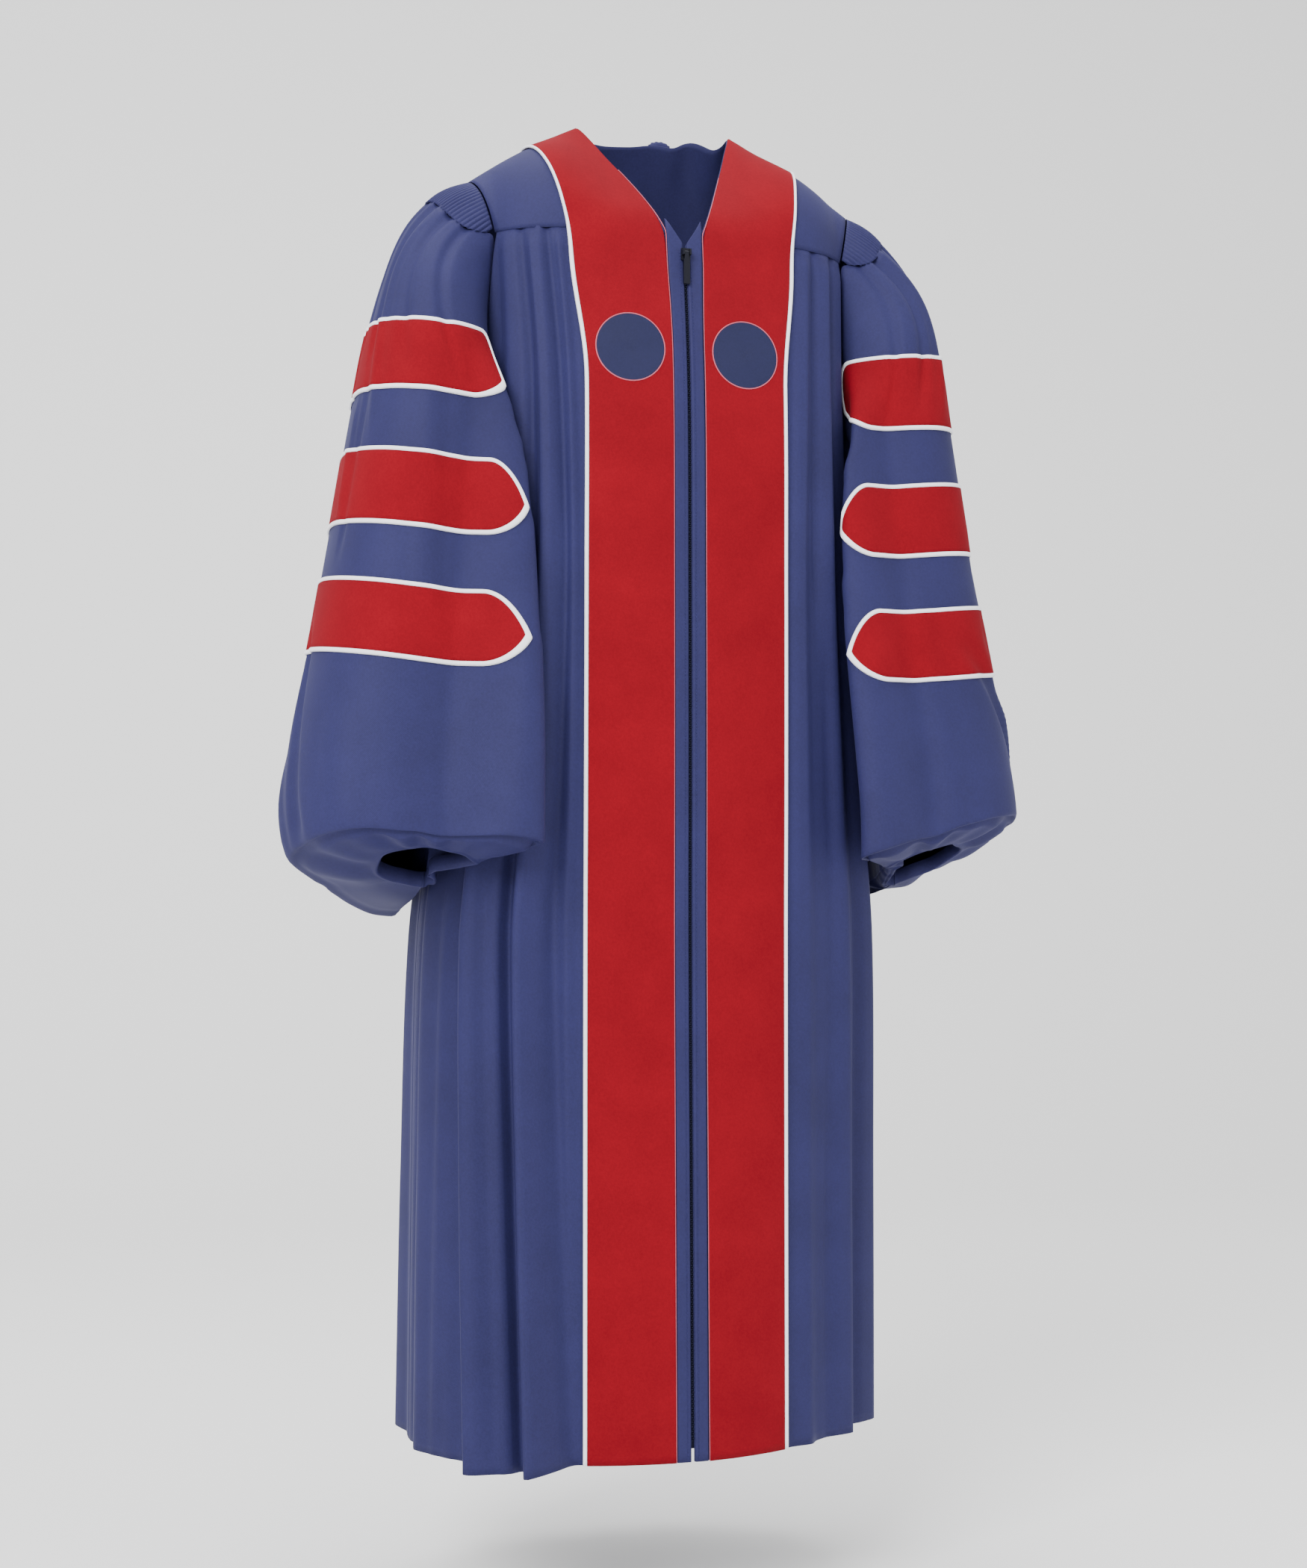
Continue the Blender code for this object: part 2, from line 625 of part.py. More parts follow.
def between(points, normals, column, row, lift):
    """Return a point on a grid at fractional places, moved out by a lift."""
    column = min(max(column, 0.0), len(points) - 1.0)
    row = min(max(row, 0.0), len(points[0]) - 1.0)
    left = min(int(column), len(points) - 2)
    low = min(int(row), len(points[0]) - 2)
    part = column - left
    rest = row - low
    place = Vector((0.0, 0.0, 0.0))
    away = Vector((0.0, 0.0, 0.0))
    for step_column, weight_column in ((0, 1.0 - part), (1, part)):
        for step_row, weight_row in ((0, 1.0 - rest), (1, rest)):
            weight = weight_column * weight_row
            place += points[left + step_column][low + step_row] * weight
            away += normals[left + step_column][low + step_row] * weight
    return place + away * lift


FRONT_WIDTHS = (FRONT_EDGE_X, V_X, 0.031, 0.066, PIPE_OUT_X)
FRONT_LEVELS = (0.0, 0.014, 0.045, 0.10, 0.165, 0.235, 0.31, 0.385, 0.465, 0.55, 0.64, 0.73, 0.82, 0.91, 1.0)


def front_columns(side):
    """Return the front's columns, as places that run down the cloth."""
    columns = []
    for x in FRONT_WIDTHS:
        columns.append(("x", x))
    for _, fold_side, places, slope, drop, _, _ in FOLDS:
        if fold_side != side or places[0] > 90:
            continue
        columns.append(("angle", tuple(place - slope for place in places)))
        columns.append(("angle", places))
        columns.append(("angle", tuple(place + drop for place in places)))
    columns.append(("angle", (SIDE_SEAM - 0.05,) * 4))
    return columns


def column_angle(column, side, height):
    kind, value = column
    if kind == "x":
        widen = 1.0
        if value > 0.05:
            widen = 1.0 + YOKE_SPREAD * soft((height + 0.30) / 0.14)
        return angle_of_x(side * value * widen, height)
    return side * four_at(value, height)


def front_grid(side):
    grid = []
    for column in front_columns(side):
        line = []
        top = armhole_top(column_angle(column, side, YOKE_Z))
        if column == ("x", FRONT_EDGE_X):
            top = V_Z
        low = hem_height(column_angle(column, side, HEM_Z))
        for level in FRONT_LEVELS:
            height = blend(top - SEAM * 2.0, low, level)
            line.append(body_point(column_angle(column, side, height), height))
        grid.append(line)
    return grid if side > 0 else flip(grid)


def back_grid():
    angles = [(SIDE_SEAM + 0.05,) * 4]
    for _, fold_side, places, slope, drop, _, _ in FOLDS:
        if fold_side > 0 and places[0] > 90:
            angles.append(tuple(place - slope for place in places))
            angles.append(places)
            angles.append(tuple(place + drop for place in places))
    angles.append((180.0,) * 4)
    right = []
    for _, fold_side, places, slope, drop, _, _ in FOLDS:
        if fold_side < 0 and places[0] > 90:
            right.append(tuple(-(place - slope) for place in places))
            right.append(tuple(-place for place in places))
            right.append(tuple(-(place + drop) for place in places))
    right.insert(0, (-SIDE_SEAM - 0.05,) * 4)
    angles.extend(reversed(right))
    grid = []
    for places in angles:
        line = []
        top = armhole_top(places[0])
        low = hem_height(places[3])
        for level in FRONT_LEVELS:
            height = blend(top - SEAM * 2.0, low, level)
            line.append(body_point(four_at(places, height), height))
        grid.append(line)
    return grid


def yoke_grid():
    """Return the yoke's points: columns run from the right front over the back to the left front."""
    grid = []
    rows = [(-1, row) for row in YOKE_ROWS[:-1]] + [(1, row) for row in reversed(YOKE_ROWS)]
    for side, row in rows:
        line = []
        for share in (0.0, row[4] / 3.0, row[4] / 1.5, row[4], row[4] + (1.0 - row[4]) * 0.5, 1.0):
            x = blend(row[0], row[2], share)
            arch = blend(row[1], row[3], share)
            line.append(arch_point(side * x, arch))
        grid.append(line)
    return grid


def make_trim(side, front, yoke, yoke_normals):
    """Make the velvet panel, its piping and the placket of one side on the cloth's own points."""
    name = "left" if side > 0 else "right"
    flat = front[:5] if side > 0 else front[-5:]
    flat_normals = facing_out(flat)
    rows_front = len(flat[0])

    def column_of(x):
        for index in range(4):
            if x <= FRONT_WIDTHS[index + 1]:
                share = index + (x - FRONT_WIDTHS[index]) / (FRONT_WIDTHS[index + 1] - FRONT_WIDTHS[index])
                return share if side > 0 else 4.0 - share
        return 4.0 if side > 0 else 0.0

    rows_yoke = len(YOKE_ROWS)
    stations = []
    for index in range(rows_yoke - 1, -1, -1):
        column = index if side < 0 else len(yoke) - 1 - index
        stations.append(("yoke", column, 0.0019 if 0 < index < 6 else 0.0008))
    for row in [0.8] + list(range(2, rows_front)):
        stations.append(("front", row, 0.0005 if row < 2 else 0.0))

    def strip(x_places, yoke_shares, lifts):
        grid = []
        for x, share, lift in zip(x_places, yoke_shares, lifts):
            line = []
            for kind, index, extra in stations:
                if kind == "yoke":
                    line.append(between(yoke, yoke_normals, index, share, lift + extra))
                else:
                    line.append(between(flat, flat_normals, column_of(x), index, lift + extra))
            line[0].x = side * SEAM * 0.6
            grid.append(line)
        return grid

    panel_x = (PANEL_IN_X, 0.031, 0.066, PIPE_IN_X - 0.0005)
    panel_v = (0.04, 1.0, 2.0, 2.86)
    outer = strip(panel_x, panel_v, (SEAM + VELVET,) * 4)
    inner = strip(panel_x, panel_v, (SEAM,) * 4)
    make_wall("panel_" + name, outer, inner, VELVET_RED)
    pipe_x = (PIPE_IN_X, (PIPE_IN_X + PIPE_OUT_X) / 2.0, PIPE_OUT_X - 0.0001)
    pipe_v = (2.882, 2.94, 2.998)
    outer = strip(pipe_x, pipe_v, (SEAM + 0.0011, SEAM + PIPE_HEIGHT, SEAM + 0.0011))
    inner = strip(pipe_x, pipe_v, (SEAM,) * 3)
    make_wall("piping_" + name, outer, inner, PIPING_WHITE)
    edge = []
    under = []
    for x in (0.0018, V_X, PLACKET_X):
        line = []
        low = []
        for row in [0.05, 0.6] + list(range(1, rows_front)):
            line.append(between(flat, flat_normals, column_of(x), row, SEAM + 0.0016))
            low.append(between(flat, flat_normals, column_of(x), row, SEAM))
        edge.append(line)
        under.append(low)
    make_wall("placket_" + name, edge, under, CLOTH_NAVY)
    make_patch(name, flat, flat_normals, column_of)
    return flat, flat_normals


def make_patch(name, front, front_normals, column_of):
    """Make one round plain patch on the velvet."""
    heights = [point.z for point in front[2]]

    def row_of(height):
        for index in range(len(heights) - 1):
            if heights[index + 1] <= height:
                return index + (height - heights[index]) / (heights[index + 1] - heights[index])
        return len(heights) - 1.0

    steps = 6
    outer = []
    inner = []
    base = SEAM + VELVET + 0.0006
    for column in range(steps + 1):
        line = []
        low = []
        across = column / steps * 2.0 - 1.0
        for row in range(steps + 1):
            along = row / steps * 2.0 - 1.0
            x = PATCH_X + PATCH_RADIUS * across * math.sqrt(1.0 - along * along / 2.0)
            z = PATCH_Z + PATCH_RADIUS * along * math.sqrt(1.0 - across * across / 2.0)
            line.append(between(front, front_normals, column_of(x), row_of(z), base + 0.0012))
            low.append(between(front, front_normals, column_of(x), row_of(z), base))
        outer.append(line)
        inner.append(low)
    make_wall("patch_" + name, outer, inner, PATCH_NAVY)


def sleeve_grid(side):
    grid = []
    for share in SLEEVE_SHARES:
        line = []
        start = flute_run(share)
        if start > 0.0:
            start += 0.0006
        for run in SLEEVE_RUN:
            line.append(sleeve_point(side, share, blend(start, 1.0, run)))
        grid.append(line)
    return grid


def make_sleeve(side):
    """Make one sleeve with its turned-in bottom, fluted head and bars."""
    name = "left" if side > 0 else "right"
    grid = sleeve_grid(side)
    normals = facing_out(grid, True, side * 0.27, -0.03)
    inner = move_out(grid, normals, -CLOTH)
    for line in inner:
        line[-1].z = bottom_height(side, line[-1].x, line[-1].y)
    make_wall("sleeve_" + name, grid, inner, CLOTH_NAVY, True)
    make_bottom(side, name, grid)
    make_fluting(side, name)
    make_bars(side, name, grid, normals)


def make_bottom(side, name, grid):
    """Make the turned-in sleeve bottom with its oval wrist opening."""
    bottom = BOTTOM_LEFT if side > 0 else BOTTOM_RIGHT
    centre_x = side * bottom[3]
    centre_y = bottom[4]
    outer = []
    inner = []
    for line in grid:
        edge = line[-1]
        way = Vector((edge.x - centre_x, edge.y - centre_y))
        reach = way.length
        way.normalize()
        oval = 1.0 / math.sqrt((way.x / bottom[5]) ** 2 + (way.y / bottom[6]) ** 2)
        oval = min(oval, reach - WRIST_MARGIN)
        low = []
        high = []
        for share in (0.0, 0.12, 0.45, 1.0):
            away = blend(reach - HEM_INSET, oval, share)
            x = centre_x + way.x * away
            y = centre_y + way.y * away
            sag = BOTTOM_SAG * math.sin(min(1.0, share / 0.9) * math.pi)
            z = bottom_height(side, x, y) - SEAM - 0.0003 - sag
            high.append(Vector((x, y, z)))
            low.append(Vector((x, y, z - CLOTH)))
        outer.append(low)
        inner.append(high)
    make_wall("sleeve_bottom_" + name, outer, inner, CLOTH_NAVY, True)


def make_fluting(side, name):
    """Make the fluted sleeve head: flutes are raised over a plain inside."""
    shares = [share for share in SLEEVE_SHARES if share <= 0.25]
    known = sorted([share - 1.0 for share in SLEEVE_SHARES if share >= 0.75] + shares)
    rows = (0.0, 1.0)
    plain = []
    for share in known:
        line = []
        length = flute_run(share) - 0.0012
        for row in rows:
            line.append(sleeve_point(side, share, blend(0.0020, length, row)))
        plain.append(line)
    normals = facing_out(plain)
    outer = []
    inner = []
    low = known[0] + FLUTE_END
    high = known[-1] - FLUTE_END
    for step in range(FLUTES * 2 + 1):
        share = blend(low, high, step / (FLUTES * 2.0))
        index = 0
        while index < len(known) - 2 and known[index + 1] < share:
            index += 1
        place = index + (share - known[index]) / (known[index + 1] - known[index])
        crest = FLUTE_HEIGHT if step % 2 else 0.0
        line = []
        under = []
        for row in range(len(rows)):
            under.append(between(plain, normals, place, row, -CLOTH * 0.7))
            line.append(between(plain, normals, place, row, crest))
        outer.append(line)
        inner.append(under)
    make_wall("fluting_" + name, outer, inner, CLOTH_NAVY)


def make_bars(side, name, grid, normals):
    """Make the three velvet bars of a sleeve with their piped edges."""
    for number, bar in enumerate(BARS, 1):
        height, drop, half, tip, corner, corner_back, tip_back = bar
        if side > 0 and number > 1:
            tip += LEFT_BAR_TIP
            corner += LEFT_BAR_CORNER
        count = len(SLEEVE_SHARES)

        def column_of(share):
            share = share % 1.0
            for index in range(count):
                following = SLEEVE_SHARES[index + 1] if index + 1 < count else 1.0
                if share <= following:
                    start = SLEEVE_SHARES[index]
                    return index, (share - start) / (following - start)
            return 0, 0.0

        def on_sleeve(share, z, lift):
            if number == 1:
                lift += BAR_OVER_BODY * soft((abs(share) - 0.21) / 0.035)
            index, part = column_of(share)
            following = (index + 1) % count
            ends = []
            for column in (index, following):
                line = grid[column]
                row = 0
                while row < len(line) - 2 and line[row + 1].z > z:
                    row += 1
                rest = (z - line[row].z) / (line[row + 1].z - line[row].z)
                place = line[row].lerp(line[row + 1], rest)
                away = normals[column][row].lerp(normals[column][row + 1], rest)
                ends.append(place + away * lift)
            return ends[0].lerp(ends[1], part)

        def centre_line(share):
            if share > 0:
                return height - drop * soft(share / tip)
            return height - drop * soft(share / tip_back) * 0.6

        def half_at(share, inset):
            """Return the bar's half height at a share, for its edge moved in by an inset."""
            reach = inset * BAR_SLANT
            part = 0.0
            if share > corner:
                part = (share - corner) / (tip - reach - corner)
            if share < corner_back:
                part = (share - corner_back) / (tip_back + reach - corner_back)
            return (half - inset) * (1.0 - min(1.0, part) ** 1.8)

        inner_reach = BAR_EDGE * BAR_SLANT
        stations = [tip_back, tip_back + inner_reach, corner_back, corner, tip - inner_reach, tip]
        for share in SLEEVE_SHARES:
            turn = share if share < 0.5 else share - 1.0
            if tip_back + inner_reach + 0.004 < turn < tip - inner_reach - 0.004:
                if abs(turn - corner) > 0.004 and abs(turn - corner_back) > 0.004:
                    stations.append(turn)
        stations.sort()
        inset = BAR_EDGE + 0.0004
        inset_reach = inset * BAR_SLANT + 0.003
        places = [tip_back + inset_reach] + stations[2:-2] + [tip - inset_reach]
        outer = []
        inner = []
        for share in places:
            line = []
            under = []
            for row in (-1.0, -0.5, 0.0, 0.5, 1.0):
                tall = half_at(share, inset) * (0.5 if share in (places[0], places[-1]) else 1.0)
                z = centre_line(share) + row * tall
                line.append(on_sleeve(share, z, BAR_LIFT + VELVET))
                under.append(on_sleeve(share, z, BAR_LIFT))
            outer.append(line)
            inner.append(under)
        make_wall("bar_%d_%s" % (number, name), outer, inner, VELVET_RED)
        pairs = [(tip, stations[-2], 1.0)]
        pairs += [(share, share, 1.0) for share in reversed(stations[2:-2])]
        pairs.append((tip_back, stations[1], 1.0))
        pairs += [(share, share, -1.0) for share in stations[2:-2]]
        outer = []
        inner = []
        for share_out, share_in, edge in pairs:
            line = []
            under = []
            for share, inset in ((share_out, 0.0), (share_in, BAR_EDGE - 0.0002)):
                z = centre_line(share) + edge * half_at(share, inset)
                line.append(on_sleeve(share, z, BAR_LIFT + 0.0020))
                under.append(on_sleeve(share, z, BAR_LIFT))
            outer.append(line)
            inner.append(under)
        make_wall("bar_piping_%d_%s" % (number, name), outer, inner, PIPING_WHITE, True)


def make_box(name, low, high, material):
    solid = bmesh.new()
    bmesh.ops.create_cube(solid, size=1.0)
    for vertex in solid.verts:
        for axis in range(3):
            vertex.co[axis] = blend(low[axis], high[axis], vertex.co[axis] + 0.5)
    return make_object(name, solid, material)


def add_boolean(target, other, operation):
    modifier = target.modifiers.new("join", "BOOLEAN")
    modifier.operation = operation
    modifier.solver = "EXACT"
    modifier.object = other
    GOWN.objects.unlink(other)
    CUTTERS.objects.link(other)
    other.hide_render = True
    other.display_type = "WIRE"


def make_round(name, radius, length, centre, material):
    """Make a short round bar that lies along x."""
    solid = bmesh.new()
    bmesh.ops.create_cone(solid, cap_ends=True, segments=20, radius1=radius, radius2=radius, depth=length)
    for vertex in solid.verts:
        x, y, z = vertex.co
        vertex.co = (z + centre[0], x + centre[1], y + centre[2])
    return make_object(name, solid, material)


def make_zip(flats):
    """Make the zip tape, the slider and its pull tab."""
    places = ((-1, 2.82), (-1, 4.0), (1, 0.0), (1, 1.18))
    outer = []
    inner = []
    for side, column in places:
        flat, normals = flats[side]
        near = []
        far = []
        last = len(flat[0]) - 1
        for row in [0.3] + list(range(1, last)) + [last - 0.12]:
            near.append(between(flat, normals, column, row, -CLOTH - SEAM))
            far.append(between(flat, normals, column, row, -CLOTH - SEAM - TAPE))
        outer.append(near)
        inner.append(far)
    make_wall("zip_tape", outer, inner, TAPE_NAVY)
    flat, normals = flats[1]
    top = V_Z - 0.003
    low = top - SLIDER_LENGTH
    depth = SEAM * 2.0 + 0.0016
    face_y = min(body_point(0.2, top).y, body_point(0.2, low).y) - depth
    near = (-SLIDER_HALF, face_y - SLIDER_DEPTH, low)
    slider = make_box("zip_slider", near, (SLIDER_HALF, face_y, top), METAL_DARK)
    tab_y = body_point(0.2, top - 0.038).y - depth - 0.0012
    axle = (0.0, min(tab_y, face_y - 0.0050), top - 0.0045)
    for side in (-1, 1):
        near = (side * 0.0036 - 0.0009, axle[1] - 0.0021, top - 0.0075)
        far = (side * 0.0036 + 0.0009, face_y - 0.0010, top - 0.0015)
        add_boolean(slider, make_box("ear_%d" % (side + 2), near, far, METAL_DARK), "UNION")
    add_boolean(slider, make_round("bore", BORE_RADIUS, 0.02, axle, METAL_DARK), "DIFFERENCE")
    tab = make_round("pull_tab", AXLE_RADIUS, 0.0086, axle, METAL_DARK)
    near = (-0.0023, axle[1] - 0.0008, axle[2] - TAB_LENGTH + 0.001)
    far = (0.0023, axle[1] + 0.0008, axle[2])
    add_boolean(tab, make_box("leaf_neck", near, far, METAL_DARK), "UNION")
    near = (-0.0032, axle[1] - 0.0009, axle[2] - TAB_LENGTH)
    far = (0.0032, axle[1] + 0.0009, axle[2] - 0.0075)
    add_boolean(tab, make_box("leaf", near, far, METAL_DARK), "UNION")


def make_hood_button(yoke):
    """Make the covered button outside the back of the neck."""
    edge = yoke[len(yoke) - 1 - BUTTON_ROW][0]
    centre_y = edge.y + VELVET + BUTTON_STAND
    solid = bmesh.new()
    bmesh.ops.create_uvsphere(solid, u_segments=16, v_segments=6, radius=1.0)
    for vertex in solid.verts:
        x, y, z = vertex.co
        place_x = BUTTON_X + x * BUTTON_HALF[0]
        vertex.co = (place_x, centre_y + y * BUTTON_HALF[1], edge.z + BUTTON_RISE + z * BUTTON_HALF[2])
    make_object("hood_button", solid, CLOTH_NAVY)


bpy.ops.object.select_all(action="DESELECT")
for existing in list(bpy.data.objects):
    bpy.data.objects.remove(existing, do_unlink=True)
GOWN = bpy.data.collections.new("graduation_gown")
CUTTERS = bpy.data.collections.new("cutters")
bpy.context.scene.collection.children.link(GOWN)
bpy.context.scene.collection.children.link(CUTTERS)
CUTTERS.hide_render = True

CLOTH_NAVY = make_material("navy_cloth", (0.060, 0.066, 0.190), 0.75, 0.0)
VELVET_RED = make_material("red_velvet", (0.420, 0.014, 0.026), 0.85, 0.0)
PIPING_WHITE = make_material("white_piping", (0.850, 0.850, 0.880), 0.50, 0.0)
PATCH_NAVY = make_material("patch_cloth", (0.045, 0.050, 0.130), 0.60, 0.0)
TAPE_NAVY = make_material("zip_tape", (0.030, 0.033, 0.080), 0.80, 0.0)
METAL_DARK = make_material("zip_metal", (0.050, 0.050, 0.060), 0.40, 0.8)

YOKE, YOKE_NORMALS = shell_of("yoke", yoke_grid(), CLOTH, CLOTH_NAVY)
shell_of("back", back_grid(), CLOTH, CLOTH_NAVY)
FLATS = {}
for SIDE in (-1, 1):
    LABEL = "left" if SIDE > 0 else "right"
    FRONT = shell_of("front_" + LABEL, front_grid(SIDE), CLOTH, CLOTH_NAVY)[0]
    FLATS[SIDE] = make_trim(SIDE, FRONT, YOKE, YOKE_NORMALS)
    make_sleeve(SIDE)
make_zip(FLATS)
make_hood_button(YOKE)
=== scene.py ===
"""Looks of a worn graduation gown: cloth shells, velvet, piping, fluting, stitching and zip on a fixed frame."""

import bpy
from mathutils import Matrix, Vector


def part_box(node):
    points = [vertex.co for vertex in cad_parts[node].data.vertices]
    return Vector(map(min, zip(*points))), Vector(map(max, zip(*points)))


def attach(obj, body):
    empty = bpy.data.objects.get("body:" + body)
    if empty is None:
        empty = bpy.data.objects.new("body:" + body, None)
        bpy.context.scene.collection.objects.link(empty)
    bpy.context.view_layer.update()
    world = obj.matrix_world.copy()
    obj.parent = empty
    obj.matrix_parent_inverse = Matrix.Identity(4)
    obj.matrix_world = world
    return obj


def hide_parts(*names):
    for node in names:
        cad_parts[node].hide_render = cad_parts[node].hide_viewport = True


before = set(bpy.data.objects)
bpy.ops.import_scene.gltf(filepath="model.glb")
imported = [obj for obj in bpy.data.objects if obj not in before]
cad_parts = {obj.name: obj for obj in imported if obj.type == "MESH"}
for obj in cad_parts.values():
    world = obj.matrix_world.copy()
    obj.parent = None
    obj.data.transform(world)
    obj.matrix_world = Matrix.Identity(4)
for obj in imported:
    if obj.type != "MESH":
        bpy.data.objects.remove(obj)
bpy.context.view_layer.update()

import logging
import math
from dataclasses import dataclass, field
from enum import Enum
from typing import Any

import bmesh
import bpy
import numpy as np
from mathutils import Matrix, Vector

LOG = logging.getLogger("gown")

# Driving sizes in metres, the same as the frame's. The origin is between the two neck points.
CLOTH = 0.0010
SEAM = 0.00035
HEM_Z = -1.360
YOKE_Z = -0.143
UNDERARM_Z = -0.360
NECK_X = 0.083
SHOULDER_X = 0.208
BACK_NECK_RISE = 0.078
LEFT_NECK_LIFT = 0.006
BACK_NECK_LIFT = 0.013
BACK_NECK_SAG = 0.012
YOKE_FRONT_X = 0.186
YOKE_BACK_X = 0.190
SIDE_SEAM = 91.0
FRONT_EDGE_X = 0.0015
PLACKET_X = 0.0158
PANEL_IN_X = 0.0166
PIPE_IN_X = 0.1010
PIPE_OUT_X = 0.1064
V_X = 0.0100
V_Z = -0.156
NECK_SLOPE = 1.50
PLACKET_TOP_X = 0.0200
PATCH_RADIUS = 0.035
PATCH_X = 0.060
PATCH_Z = -0.267
FLUTE_LENGTH = 0.046
FLUTES = 44
SLEEVE_CLEAR = 0.0100
LAP_CLEAR = 0.0035
TUCK = 0.030
BAR_EDGE = 0.0050
HEAD_RUN = 0.17


class Side(Enum):
    """A side of the gown, as the wearer has it."""

    RIGHT = -1
    LEFT = 1

    @property
    def label(self) -> str:
        """Return the side's word in piece names."""
        return self.name.lower()


class Pattern(Enum):
    """The surface structure of a finish."""

    TWILL = "twill"
    PILE = "pile"
    CORD = "cord"
    PLAIN = "plain"


def blend(first: Any, second: Any, share: Any) -> Any:
    """Return the value that lies a share of the way from the first to the second."""
    return first + (second - first) * share


def soft(share: Any) -> Any:
    """Return a share from 0 to 1 with soft ends."""
    share = np.clip(share, 0.0, 1.0)
    return share * share * (3.0 - 2.0 * share)


def bump(distance: Any) -> Any:
    """Return a round bump that is 1 at distance 0 and 0 from distance 1 on."""
    near = np.clip(1.0 - np.asarray(distance) ** 2, 0.0, 1.0)
    return near * near


@dataclass(frozen=True)
class SizeTable:
    """Sizes at set heights or steps, joined by smooth lines.

    Attributes:
        rows: One row for each height, the height first.
    """

    rows: tuple[tuple[float, ...], ...]

    def at(self, place: Any) -> list[np.ndarray]:
        """Return each column's value at the places.

        Args:
            place: Heights or steps, as the first column has them.

        Returns:
            One array for each column after the first.
        """
        table = np.array(self.rows, dtype=float)
        keys = table[:, 0]
        turned = -1.0 if keys[0] > keys[-1] else 1.0
        keys = keys * turned
        place = np.clip(np.asarray(place, dtype=float) * turned, keys[0], keys[-1])
        index = np.clip(np.searchsorted(keys, place, side="right") - 1, 0, len(keys) - 2)
        before = np.maximum(index - 1, 0)
        after = np.minimum(index + 2, len(keys) - 1)
        span = keys[index + 1] - keys[index]
        share = (place - keys[index]) / span
        square = share ** 2
        cube = share ** 3
        found = []
        for column in range(1, table.shape[1]):
            value = table[:, column]
            here = value[index]
            there = value[index + 1]
            slope_here = (there - value[before]) / (keys[index + 1] - keys[before]) * span
            slope_there = (value[after] - here) / (keys[after] - keys[index]) * span
            line = (2 * cube - 3 * square + 1) * here + (cube - 2 * square + share) * slope_here
            found.append(line + (3 * square - 2 * cube) * there + (cube - square) * slope_there)
        return found


@dataclass(frozen=True)
class Fold:
    """One long fold of the body cloth.

    Attributes:
        side: -1 on the wearer's right, 1 on the left.
        places: Angle from the centre front at the four fold heights, in degrees.
        slope: Run of the slope up to the crest, in degrees.
        drop: Run past the crest, in degrees.
        start: Share of the depth where the slope starts.
        depths: Depth at the four fold heights, in metres.
    """

    side: int
    places: tuple[float, float, float, float]
    slope: float
    drop: float
    start: float
    depths: tuple[float, float, float, float]


@dataclass(frozen=True)
class Crease:
    """A soft ridge, or a trough where the depth is negative, along a line on a cloth.

    Attributes:
        first: Place of one end, across and along the cloth.
        second: Place of the other end.
        width: Half width, in the unit that runs across.
        depth: Height of the ridge, in metres.
    """

    first: tuple[float, float]
    second: tuple[float, float]
    width: float
    depth: float

    def rise(self, across: np.ndarray, along: np.ndarray) -> np.ndarray:
        """Return how far the crease lifts the cloth at places given across and along."""
        run = np.clip((along - self.first[1]) / (self.second[1] - self.first[1]), -0.25, 1.25)
        centre = blend(self.first[0], self.second[0], run)
        fade = soft((run + 0.25) / 0.35) * soft((1.25 - run) / 0.35)
        return self.depth * fade * bump((across - centre) / self.width)


FOLD_HEIGHTS = (-0.165, -0.450, -0.850, -1.360)
